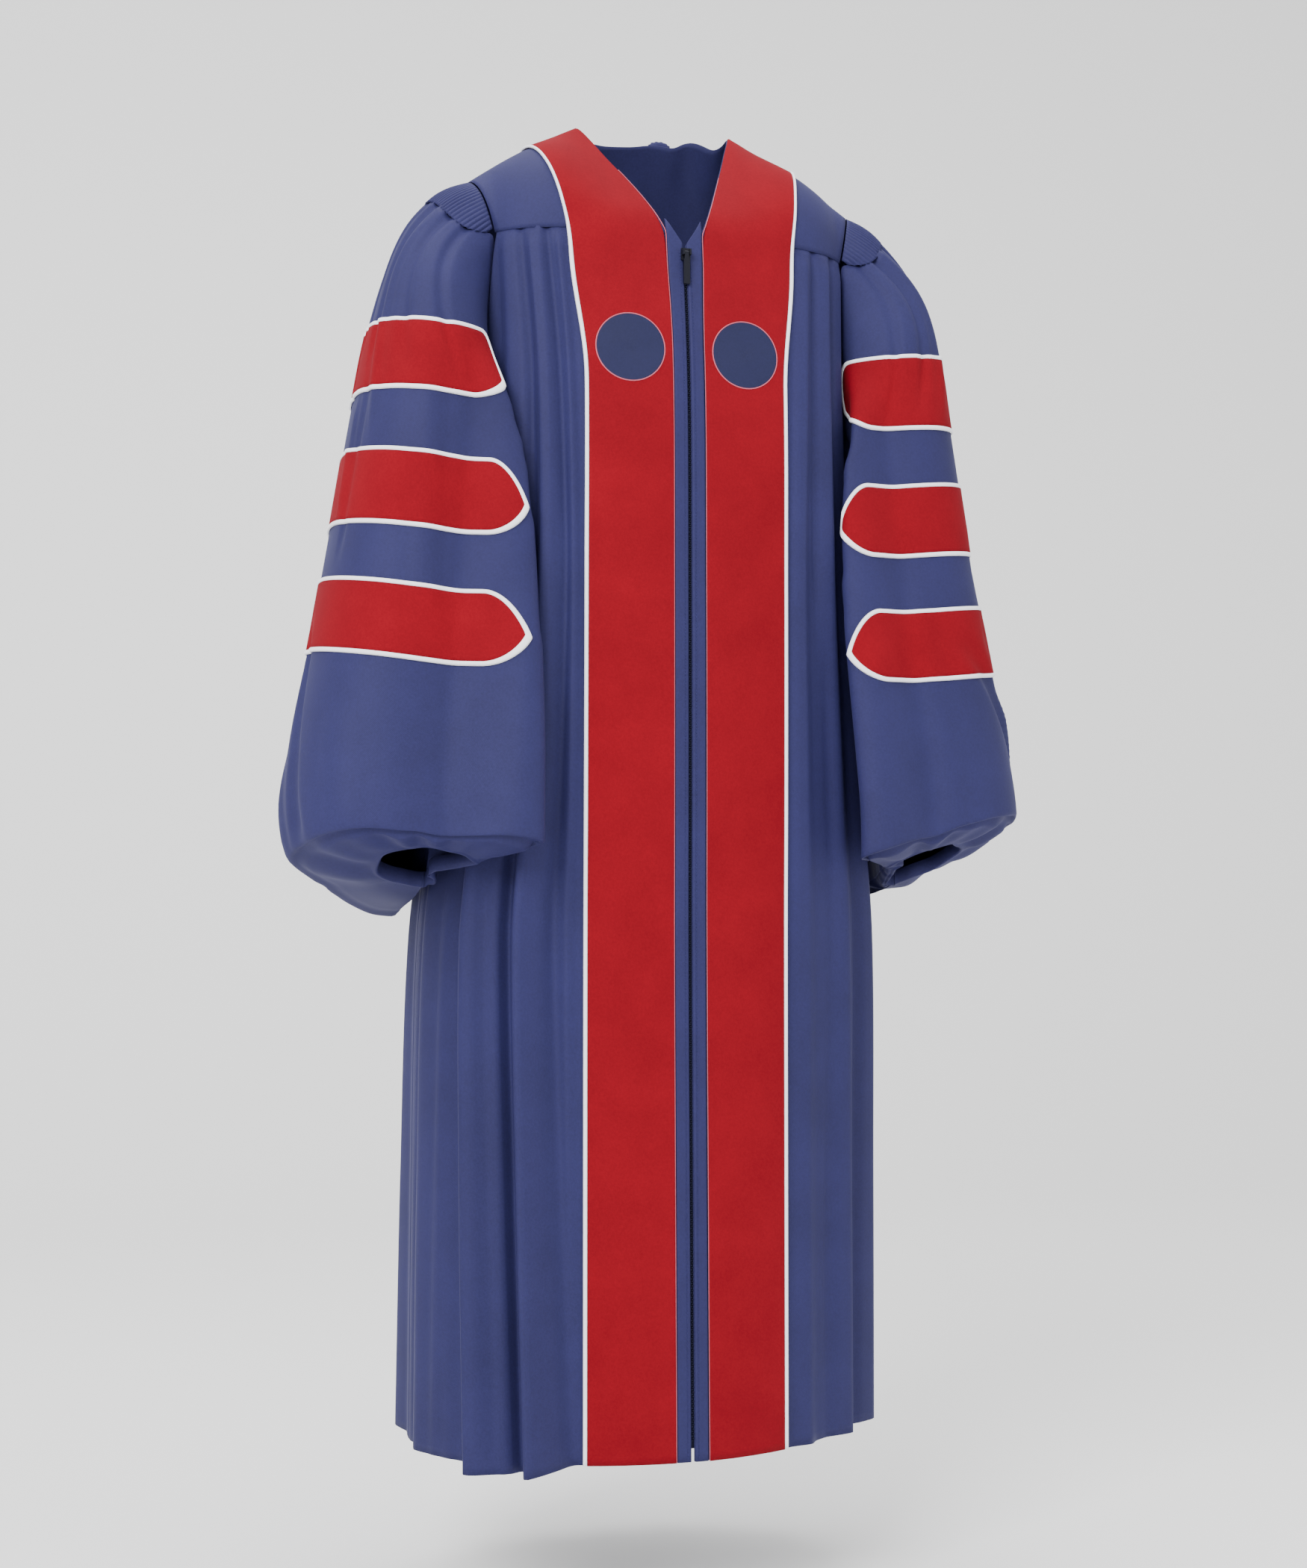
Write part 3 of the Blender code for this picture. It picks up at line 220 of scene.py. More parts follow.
# Body outline: height, half width, centre y, front depth, back depth, squareness right, left and back.
BODY = SizeTable((
    (-0.143, 0.200, -0.010, 0.115, 0.113, 3.2, 3.2, 3.0),
    (-0.300, 0.196, -0.005, 0.138, 0.128, 3.0, 3.0, 2.8),
    (-0.500, 0.206, 0.006, 0.152, 0.136, 2.7, 2.6, 2.4),
    (-0.700, 0.224, 0.018, 0.164, 0.146, 2.5, 2.3, 2.2),
    (-0.850, 0.240, 0.028, 0.173, 0.158, 2.4, 2.1, 2.2),
    (-1.100, 0.243, 0.036, 0.184, 0.170, 2.3, 1.9, 2.2),
    (-1.360, 0.243, 0.040, 0.192, 0.182, 2.2, 1.75, 2.2),
))
FOLDS = (
    Fold(-1, (30, 28, 26.5, 26.7), 2.5, 1.5, 0.0, (0.005, 0.007, 0.005, 0.001)),
    Fold(-1, (42, 38.5, 39, 35.5), 7, 2.6, 0.3, (0.007, 0.012, 0.032, 0.047)),
    Fold(-1, (56, 56, 55, 50), 10, 5.0, 0.5, (0.004, 0.009, 0.026, 0.044)),
    Fold(-1, (72, 76, 79, 79), 9, 7.0, 0.0, (0.002, 0.004, 0.006, 0.008)),
    Fold(1, (32, 31, 32, 36), 5, 3.5, 0.0, (0.006, 0.007, 0.005, 0.007)),
    Fold(1, (45, 46, 48, 52), 8, 4.0, 0.0, (0.006, 0.010, 0.010, 0.014)),
    Fold(1, (60, 64, 66, 70), 9, 5.0, 0.0, (0.003, 0.007, 0.012, 0.016)),
    Fold(1, (76, 80, 82, 85), 8, 4.5, 0.0, (0.002, 0.004, 0.008, 0.012)),
    Fold(-1, (104, 106, 107, 108), 8, 7.0, 0.0, (0.003, 0.007, 0.012, 0.017)),
    Fold(-1, (121, 123, 125, 126), 9, 6.0, 0.0, (0.005, 0.010, 0.019, 0.033)),
    Fold(-1, (136, 139, 141, 143), 8, 6.0, 0.0, (0.006, 0.009, 0.014, 0.022)),
    Fold(-1, (151, 154, 157, 160), 8, 6.0, 0.0, (0.006, 0.011, 0.020, 0.031)),
    Fold(-1, (166, 169, 172, 175), 7, 4.0, 0.0, (0.005, 0.008, 0.012, 0.017)),
    Fold(1, (103, 105, 106, 106), 8, 7.0, 0.0, (0.003, 0.006, 0.013, 0.022)),
    Fold(1, (121, 123, 124, 125), 9, 6.0, 0.0, (0.005, 0.010, 0.020, 0.034)),
    Fold(1, (136, 138, 139, 141), 8, 6.0, 0.0, (0.006, 0.008, 0.013, 0.020)),
    Fold(1, (151, 153, 155, 158), 8, 6.0, 0.0, (0.006, 0.011, 0.018, 0.029)),
    Fold(1, (166, 168, 171, 173), 8, 5.0, 0.0, (0.005, 0.008, 0.013, 0.020)),
)
# Creases of the body cloth: signed angle and height of each end, half width in degrees, depth.
BODY_CREASES = (
    Crease((-34.5, -0.150), (-31.5, -0.420), 2.4, -0.0030),
    Crease((-47.0, -0.150), (-45.0, -0.360), 3.0, -0.0028),
    Crease((-38.0, -0.170), (-34.0, -0.620), 2.0, 0.0018),
    Crease((-31.0, -0.500), (-30.5, -1.150), 2.6, -0.0022),
    Crease((-50.0, -0.700), (-44.0, -1.330), 3.4, -0.0040),
    Crease((-62.0, -0.600), (-60.0, -1.340), 4.5, -0.0040),
    Crease((-68.0, -0.860), (-70.0, -1.340), 3.4, 0.0030),
    Crease((-84.0, -0.820), (-86.0, -1.340), 3.6, -0.0030),
    Crease((37.0, -0.150), (38.0, -0.460), 2.6, -0.0026),
    Crease((51.0, -0.160), (54.0, -0.520), 3.2, -0.0028),
    Crease((28.0, -0.300), (28.5, -0.900), 2.4, 0.0014),
    Crease((42.0, -0.620), (44.0, -1.250), 3.2, -0.0026),
    Crease((57.0, -0.700), (60.0, -1.340), 3.6, -0.0034),
    Crease((75.0, -0.860), (77.0, -1.340), 3.4, -0.0030),
    Crease((-114.0, -0.420), (-116.0, -1.340), 3.6, -0.0040),
    Crease((-131.0, -0.230), (-134.0, -1.120), 3.0, -0.0036),
    Crease((-146.0, -0.170), (-149.0, -0.900), 2.8, -0.0030),
    Crease((-160.0, -0.260), (-166.0, -1.340), 3.2, -0.0042),
    Crease((-175.0, -0.160), (-178.5, -0.760), 2.6, 0.0024),
    Crease((113.0, -0.420), (115.0, -1.340), 3.6, -0.0040),
    Crease((130.0, -0.200), (132.0, -1.050), 3.0, -0.0036),
    Crease((146.0, -0.260), (148.0, -1.340), 2.8, -0.0034),
    Crease((160.0, -0.160), (163.0, -0.820), 3.2, -0.0036),
    Crease((176.0, -0.320), (177.5, -1.200), 2.4, -0.0026),
)
# Yoke rows from the front seam over the shoulder to the centre back: step, place of the neck edge
# and of the outer edge, each as x and share of the arch, and share that the velvet covers.
YOKE_ROWS = (
    (0.0170, 0.000, 0.186, 0.00, 0.608),
    (0.0270, 0.100, 0.191, 0.10, 0.604),
    (0.0400, 0.200, 0.196, 0.20, 0.590),
    (0.0535, 0.290, 0.201, 0.30, 0.573),
    (0.0690, 0.390, 0.205, 0.40, 0.544),
    (0.0830, 0.500, 0.208, 0.50, 0.504),
    (0.0810, 0.585, 0.206, 0.60, 0.420),
    (0.0730, 0.640, 0.203, 0.70, 0.340),
    (0.0620, 0.680, 0.199, 0.80, 0.280),
    (0.0500, 0.700, 0.195, 0.90, 0.250),
    (0.0380, 0.715, 0.190, 1.00, 0.244),
    (0.0260, 0.722, 0.140, 1.00, 0.280),
    (0.0130, 0.726, 0.070, 1.00, 0.305),
    (0.0006, 0.728, 0.001, 1.00, 0.320),
)
# Sleeve outline: height, outer x, inner x, front y, back y and how far it laps the body front.
SLEEVES = {
    Side.RIGHT: SizeTable((
        (-0.070, 0.206, 0.176, -0.060, 0.030, 0.000),
        (-0.116, 0.255, 0.172, -0.088, 0.052, 0.000),
        (-0.158, 0.281, 0.170, -0.106, 0.072, 0.006),
        (-0.236, 0.305, 0.168, -0.124, 0.088, 0.014),
        (-0.311, 0.319, 0.166, -0.133, 0.098, 0.022),
        (-0.446, 0.342, 0.164, -0.140, 0.104, 0.036),
        (-0.573, 0.365, 0.160, -0.148, 0.106, 0.044),
        (-0.660, 0.382, 0.158, -0.156, 0.106, 0.048),
        (-0.740, 0.389, 0.158, -0.164, 0.104, 0.048),
        (-0.860, 0.366, 0.162, -0.166, 0.100, 0.044),
    )),
    Side.LEFT: SizeTable((
        (-0.070, 0.206, 0.176, -0.060, 0.030, 0.000),
        (-0.116, 0.260, 0.172, -0.088, 0.052, 0.000),
        (-0.158, 0.286, 0.170, -0.104, 0.072, 0.008),
        (-0.236, 0.309, 0.170, -0.116, 0.090, 0.018),
        (-0.311, 0.321, 0.172, -0.120, 0.102, 0.026),
        (-0.446, 0.342, 0.176, -0.126, 0.110, 0.034),
        (-0.573, 0.365, 0.182, -0.134, 0.116, 0.038),
        (-0.660, 0.382, 0.186, -0.140, 0.118, 0.040),
        (-0.740, 0.389, 0.190, -0.146, 0.118, 0.040),
        (-0.860, 0.366, 0.194, -0.148, 0.116, 0.036),
    )),
}


@dataclass(frozen=True)
class Bottom:
    """A sleeve's slanted, turned-in bottom.

    Attributes:
        height: Height at y -0.165 and x 0.25.
        rise_y: Rise for each metre of y.
        rise_x: Rise for each metre of x.
        centre: Centre of the wrist opening, x and y.
        half: Half length of the opening along x and along y.
    """

    height: float
    rise_y: float
    rise_x: float
    centre: tuple[float, float]
    half: tuple[float, float]

    def level(self, x: Any, y: Any) -> Any:
        """Return the bottom's height at a plan point."""
        return self.height + self.rise_y * (y + 0.165) + self.rise_x * (abs(x) - 0.25)


BOTTOMS = {
    Side.RIGHT: Bottom(-0.760, -0.29, 0.10, (0.252, -0.104), (0.057, 0.040)),
    Side.LEFT: Bottom(-0.752, -0.24, 0.30, (0.274, -0.062), (0.052, 0.044)),
}
# Creases of the sleeves: share round the sleeve and run down it at each end, half width in shares, depth.
SLEEVE_CREASES = {
    Side.RIGHT: (
        Crease((0.030, 0.05), (0.020, 0.24), 0.020, -0.0030),
        Crease((0.085, 0.05), (0.105, 0.26), 0.018, -0.0034),
        Crease((0.150, 0.04), (0.190, 0.25), 0.020, -0.0040),
        Crease((0.200, 0.03), (0.262, 0.20), 0.018, -0.0036),
        Crease((0.120, 0.08), (0.140, 0.36), 0.016, 0.0026),
        Crease((0.960, 0.06), (0.985, 0.30), 0.022, -0.0034),
        Crease((0.065, 0.36), (0.075, 0.50), 0.020, 0.0024),
        Crease((0.110, 0.34), (0.100, 0.55), 0.016, -0.0022),
        Crease((0.240, 0.30), (0.255, 0.62), 0.030, 0.0030),
        Crease((0.020, 0.70), (0.080, 0.98), 0.028, -0.0060),
        Crease((0.955, 0.78), (1.020, 0.99), 0.026, 0.0036),
        Crease((0.160, 0.84), (0.175, 1.00), 0.040, 0.0026),
        Crease((0.880, 0.10), (0.870, 0.95), 0.032, -0.0060),
        Crease((0.800, 0.12), (0.795, 0.90), 0.030, 0.0050),
        Crease((0.730, 0.20), (0.745, 0.98), 0.024, -0.0040),
        Crease((0.340, 0.55), (0.330, 0.98), 0.022, -0.0034),
    ),
    Side.LEFT: (
        Crease((0.040, 0.05), (0.030, 0.26), 0.018, -0.0032),
        Crease((0.100, 0.05), (0.118, 0.30), 0.018, -0.0038),
        Crease((0.150, 0.04), (0.185, 0.27), 0.018, 0.0030),
        Crease((0.180, 0.04), (0.232, 0.24), 0.018, -0.0044),
        Crease((0.225, 0.03), (0.290, 0.19), 0.018, -0.0034),
        Crease((0.965, 0.06), (0.975, 0.28), 0.022, -0.0030),
        Crease((0.130, 0.55), (0.150, 0.70), 0.024, -0.0026),
        Crease((0.200, 0.72), (0.060, 0.97), 0.030, -0.0056),
        Crease((0.120, 0.82), (0.010, 0.99), 0.026, 0.0056),
        Crease((0.290, 0.60), (0.270, 1.00), 0.030, 0.0034),
        Crease((0.880, 0.14), (0.885, 0.92), 0.032, -0.0060),
        Crease((0.805, 0.12), (0.790, 0.94), 0.028, 0.0050),
        Crease((0.735, 0.24), (0.745, 0.98), 0.024, -0.0044),
    ),
}


@dataclass(frozen=True)
class Bar:
    """One velvet bar of a sleeve.

    Attributes:
        height: Height of its middle at the sleeve's outer line.
        drop: Drop of the middle towards the front tip.
        half: Half height.
        tip: Share of the sleeve at the front tip.
        corner: Share at the front corner.
        corner_back: Share at the back corner, minus past the outer line.
        tip_back: Share at the back tip.
    """

    height: float
    drop: float
    half: float
    tip: float
    corner: float
    corner_back: float
    tip_back: float


BARS = (
    Bar(-0.2735, 0.016, 0.0375, 0.322, 0.285, -0.250, -0.295),
    Bar(-0.4065, 0.020, 0.0390, 0.356, 0.320, -0.250, -0.295),
    Bar(-0.5355, 0.022, 0.0380, 0.356, 0.320, -0.250, -0.295),
)
# How much further round each bar reaches than its frame node, in shares, and how far its tip drops.
LONGER_BARS = {Side.RIGHT: (0.022, 0.006, 0.004), Side.LEFT: (0.046, 0.018, 0.018)}
TIP_DROPS = {Side.RIGHT: (0.024, 0.010, 0.009), Side.LEFT: (0.012, 0.010, 0.010)}


def linear(code: str) -> tuple[float, float, float, float]:
    """Return an sRGB hex colour as linear red, green, blue and alpha.

    Args:
        code: Six hex digits.

    Returns:
        The linear colour.
    """
    values = []
    for index in (0, 2, 4):
        level = int(code[index:index + 2], 16) / 255.0
        values.append(level / 12.92 if level <= 0.04045 else ((level + 0.055) / 1.055) ** 2.4)
    return (values[0], values[1], values[2], 1.0)


def add_node(tree: bpy.types.NodeTree, kind: str, links: dict[str, Any], **settings: Any) -> bpy.types.Node:
    """Add a shader node with its settings and links.

    Args:
        tree: The material's node tree.
        kind: The node's type name.
        links: Input name to the socket that feeds it, or to its constant value.
        settings: Attributes of the node.

    Returns:
        The new node.
    """
    node = tree.nodes.new(kind)
    for name, value in settings.items():
        setattr(node, name, value)
    for name, value in links.items():
        socket = node.inputs[int(name)] if name.isdigit() else node.inputs[name]
        if isinstance(value, bpy.types.NodeSocket):
            tree.links.new(value, socket)
        else:
            socket.default_value = value
    return node


@dataclass(frozen=True)
class Finish:
    """A finish of the gown, made as a procedural material.

    Attributes:
        name: Real material and how it was made.
        slot: The record's slot; not used.
        light: Hex colour where the cloth is fullest.
        dark: Hex colour of its variation.
        pattern: Surface structure.
        pitch: Size of the structure in millimetres.
        relief: Height of the structure in millimetres.
        roughness: Roughness.
        sheen: Weight of the nap's sheen.
        sheen_tint: Hex colour of the sheen.
        metallic: Metallic share.
        patch_size: Size of the soft colour variation in millimetres.
    """

    name: str
    slot: str
    light: str
    dark: str
    pattern: Pattern
    pitch: float
    relief: float
    roughness: float
    sheen: float
    sheen_tint: str
    metallic: float = 0.0
    patch_size: float = 90.0

    def build(self) -> bpy.types.Material:
        """Return the material, made once for each finish."""
        found = bpy.data.materials.get(self.name)
        if found is not None:
            return found
        material = bpy.data.materials.new(self.name)
        material.use_nodes = True
        tree = material.node_tree
        shader = tree.nodes["Principled BSDF"]
        place = add_node(tree, "ShaderNodeTexCoord", {})
        colour = self._colour(tree, place)
        height = self._height(tree, place)
        tree.links.new(colour, shader.inputs["Base Color"])
        relief = add_node(
            tree, "ShaderNodeBump",
            {"Height": height, "Strength": 0.6, "Distance": self.relief / 1000.0},
        )
        tree.links.new(relief.outputs["Normal"], shader.inputs["Normal"])
        shader.inputs["Roughness"].default_value = self.roughness
        shader.inputs["Metallic"].default_value = self.metallic
        shader.inputs["Sheen Weight"].default_value = self.sheen
        shader.inputs["Sheen Roughness"].default_value = 0.45
        shader.inputs["Sheen Tint"].default_value = linear(self.sheen_tint)
        shader.inputs["Specular IOR Level"].default_value = 0.15 if self.metallic == 0.0 else 0.5
        material.diffuse_color = linear(self.light)
        return material

    def _colour(self, tree: bpy.types.NodeTree, place: bpy.types.Node) -> bpy.types.NodeSocket:
        """Return the socket of the colour, which drifts softly over the cloth and grains finely."""
        drift = add_node(
            tree, "ShaderNodeTexNoise",
            {"Vector": place.outputs["Object"], "Scale": 1000.0 / self.patch_size, "Detail": 4.0, "Roughness": 0.6},
        )
        grain = add_node(
            tree, "ShaderNodeTexNoise",
            {"Vector": place.outputs["Object"], "Scale": 1000.0 / 2.2, "Detail": 2.0, "Roughness": 0.7},
        )
        sum_of = add_node(
            tree, "ShaderNodeMath",
            {"0": drift.outputs["Fac"], "1": grain.outputs["Fac"]}, operation="ADD",
        )
        spread = add_node(
            tree, "ShaderNodeMapRange",
            {"Value": sum_of.outputs["Value"], "From Min": 0.70, "From Max": 1.30},
        )
        mixed = add_node(
            tree, "ShaderNodeMix",
            {"Factor": spread.outputs["Result"], "6": linear(self.dark), "7": linear(self.light)},
            data_type="RGBA",
        )
        return mixed.outputs[2]

    def _height(self, tree: bpy.types.NodeTree, place: bpy.types.Node) -> bpy.types.NodeSocket:
        """Return the socket of the height pattern: diagonal ribs, a fine pile, cord ribs or a plain grain."""
        fine = add_node(
            tree, "ShaderNodeTexNoise",
            {"Vector": place.outputs["Object"], "Scale": 1000.0 / self.pitch, "Detail": 3.0, "Roughness": 0.65},
        )
        if self.pattern in (Pattern.PILE, Pattern.PLAIN):
            return fine.outputs["Fac"]
        turn = math.radians(60.0 if self.pattern is Pattern.TWILL else 30.0)
        laid = add_node(
            tree, "ShaderNodeMapping",
            {"Vector": place.outputs["UV"], "Rotation": (0.0, 0.0, turn)},
        )
        # A band texture repeats every 0.314 of its own unit.
        ribs = add_node(
            tree, "ShaderNodeTexWave",
            {"Vector": laid.outputs["Vector"], "Scale": 0.314 / (self.pitch / 1000.0), "Distortion": 0.4,
             "Detail": 1.0},
        )
        both = add_node(
            tree, "ShaderNodeMath",
            {"0": ribs.outputs["Fac"], "1": fine.outputs["Fac"]}, operation="ADD",
        )
        return both.outputs["Value"]


# Matt satin of polyester, woven in a fine twill: a soft cool blue that lightens at grazing angles.
# Threads are 0.3 mm apart, drawn at 0.9 mm so that they show.
NAVY = Finish("polyester_twill_woven_navy", "navy_cloth", "292953", "232347", Pattern.TWILL, 0.9, 0.10, 0.66, 0.08,
              "7A7CC0")
# Cotton velvet with a short cut pile: deep red, lighter where the nap turns to the eye.
VELVET = Finish("cotton_velvet_cut_pile_red", "red_velvet", "7E0315", "6F0211", Pattern.PILE, 0.8, 0.16, 0.92, 0.05,
                "C82848", patch_size=60.0)
# Satin bias piping over a cord: clean white with faint slanting ribs.
PIPING = Finish("satin_bias_piping_white", "white_piping", "F7F7FB", "ECECF4", Pattern.CORD, 0.7, 0.06, 0.45, 0.20,
                "FFFFFF")
# Embroidery twill, close woven and a little darker than the gown cloth.
PATCH = Finish("embroidery_twill_woven_navy", "patch_cloth", "212343", "1D1F3B", Pattern.TWILL, 0.7, 0.12, 0.66, 0.06,
               "7076A8")
# Polyester sewing thread, spun, in navy.
THREAD = Finish("polyester_thread_spun_navy", "navy_cloth", "2E2F60", "282955", Pattern.PLAIN, 0.4, 0.04, 0.50, 0.10,
                "8086CC")
# Rayon embroidery thread, pale pink, the patch border's own colour; along the velvet's inner edge the same pale pink
# strip is a painted highlight where the folded pile catches the light.
ROSE_THREAD_AND_PAINTED_HIGHLIGHT = Finish("rayon_thread_spun_rose", "red_velvet", "B8606E", "A85060", Pattern.PLAIN, 0.4, 0.04, 0.40, 0.20,
                     "F4C0C8")
# Woven polyester zip tape with moulded teeth, dark navy.
ZIP_TAPE = Finish("polyester_zip_tape_woven", "zip_tape", "14162B", "101225", Pattern.TWILL, 0.6, 0.08, 0.80, 0.05,
                  "606690")
# Die-cast zinc, painted dark and worn bright at its edges.
ZINC = Finish("zinc_die_cast_painted", "zip_metal", "24252F", "1C1D26", Pattern.PLAIN, 0.6, 0.02, 0.36, 0.0,
              "FFFFFF", metallic=0.75)


@dataclass
class ClothGrid:
    """A grid of outside points of one piece of cloth.

    Attributes:
        points: Array of columns, rows and the three coordinates.
        wrap: Whether the last column meets the first.
        axis: Plan point from which the cloth faces away.
    """

    points: np.ndarray
    wrap: bool = False
    axis: tuple[float, float] = (0.0, 0.02)

    def normals(self) -> np.ndarray:
        """Return each point's direction, out of the cloth's outside."""
        if self.wrap:
            across = np.roll(self.points, -1, axis=0) - np.roll(self.points, 1, axis=0)
        else:
            across = np.gradient(self.points, axis=0)
        along = np.gradient(self.points, axis=1)
        found = np.cross(across, along)
        found /= np.linalg.norm(found, axis=2, keepdims=True) + 1e-12
        away = self.points[..., :2] - np.array(self.axis)
        if (found[..., :2] * away).sum() < 0.0:
            found = -found
        return found

    def lifted(self, lift: Any) -> "ClothGrid":
        """Return the grid moved out.

        Args:
            lift: One distance, or an array of distances for the columns and rows.

        Returns:
            A new grid.
        """
        away = self.normals() * np.asarray(lift)[..., None] if np.ndim(lift) else self.normals() * lift
        return ClothGrid(self.points + away, self.wrap, self.axis)

    def sample(self, column: np.ndarray, row: np.ndarray) -> tuple[np.ndarray, np.ndarray]:
        """Return the points and directions at fractional columns and rows.

        Args:
            column: Fractional columns.
            row: Fractional rows.

        Returns:
            The points and the directions there.
        """
        count, rows = self.points.shape[:2]
        if not self.wrap:
            column = np.clip(column, 0.0, count - 1.0001)
        row = np.clip(row, 0.0, rows - 1.0001)
        left = np.floor(column).astype(int)
        low = np.floor(row).astype(int)
        part = (column - left)[..., None]
        rest = (row - low)[..., None]
        right = (left + 1) % count
        left = left % count
        found = []
        for grid in (self.points, self.normals()):
            near = blend(grid[left, low], grid[right, low], part)
            far = blend(grid[left, low + 1], grid[right, low + 1], part)
            found.append(blend(near, far, rest))
        return found[0], found[1]

    def smoothed(self, times: int) -> "ClothGrid":
        """Return the grid with its points evened out a few times, the edges kept."""
        points = self.points.copy()
        for step in range(times):
            if self.wrap:
                across = (np.roll(points, -1, axis=0) + np.roll(points, 1, axis=0)) / 2.0
                points = blend(points, across, 0.5)
            else:
                points[1:-1] = blend(points[1:-1], (points[2:] + points[:-2]) / 2.0, 0.5)
            points[:, 1:-1] = blend(points[:, 1:-1], (points[:, 2:] + points[:, :-2]) / 2.0, 0.5)
        return ClothGrid(points, self.wrap, self.axis)

    def make(self, name: str, finish: Finish, wall: float = CLOTH, closed_rows: bool = False) -> bpy.types.Object:
        """Make the cloth's object, with a map in metres and a thin wall inward.

        Args:
            name: The piece's name.
            finish: Its finish.
            wall: Thickness in metres, or 0 for none.
            closed_rows: Whether the rows run round a closed tube.

        Returns:
            The object.
        """
        count, rows = self.points.shape[:2]
        faces_across = count if self.wrap else count - 1
        cloth = bmesh.new()
        bmesh.ops.create_grid(cloth, x_segments=faces_across, y_segments=rows - 1, size=0.5)
        column_of = cloth.verts.layers.int.new("column")
        row_of = cloth.verts.layers.int.new("row")
        for vertex in cloth.verts:
            vertex[column_of] = round((vertex.co.x + 0.5) * faces_across) % count
            vertex[row_of] = round((vertex.co.y + 0.5) * (rows - 1))
        widths = np.linalg.norm(np.diff(self.points, axis=0), axis=2).mean(axis=1)
        lengths = np.linalg.norm(np.diff(self.points, axis=1), axis=2).mean(axis=0)
        across = np.concatenate(([0.0], np.cumsum(widths)))
        along = np.concatenate(([0.0], np.cumsum(lengths)))
        map_layer = cloth.loops.layers.uv.new("cloth")
        for face in cloth.faces:
            columns = [loop.vert[column_of] for loop in face.loops]
            turns_over = max(columns) - min(columns) > 1
            for loop, column in zip(face.loops, columns):
                place = across[column]
                if turns_over and column == 0:
                    place = across[-1] + widths[0]
                loop[map_layer].uv = (place, along[loop.vert[row_of]])
        for vertex in cloth.verts:
            vertex.co = self.points[vertex[column_of], vertex[row_of]]
        if self.wrap or closed_rows:
            bmesh.ops.remove_doubles(cloth, verts=cloth.verts[:], dist=1e-6)
        away = self.normals()
        lean = 0.0
        cloth.normal_update()
        for vertex in cloth.verts:
            lean += vertex.normal.dot(Vector(away[vertex[column_of], vertex[row_of]]))
        if lean < 0.0:
            bmesh.ops.reverse_faces(cloth, faces=cloth.faces[:])
        made = finish_object(name, cloth, finish)
        if wall > 0.0:
            shell = made.modifiers.new("wall", "SOLIDIFY")
            shell.thickness = wall
            shell.offset = -1.0
            shell.use_quality_normals = True
        return made


def finish_object(name: str, shape: bmesh.types.BMesh, finish: Finish, smooth: bool = True) -> bpy.types.Object:
    """Turn a bmesh into a shown object with a finish.

    Args:
        name: The piece's name.
        shape: The bmesh, freed here.
        finish: Its finish.
        smooth: Whether its faces are shaded smooth.

    Returns:
        The object.
    """
    mesh = bpy.data.meshes.new(name)
    shape.to_mesh(mesh)
    shape.free()
    mesh.materials.append(finish.build())
    if smooth:
        mesh.shade_smooth()
    made = bpy.data.objects.new(name, mesh)
    bpy.context.scene.collection.objects.link(made)
    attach(made, "gown")
    return made


def report(piece: bpy.types.Object) -> None:
    """Write one line on a finished piece to the log."""
    LOG.info("%s: %d faces", piece.name, len(piece.data.polygons))


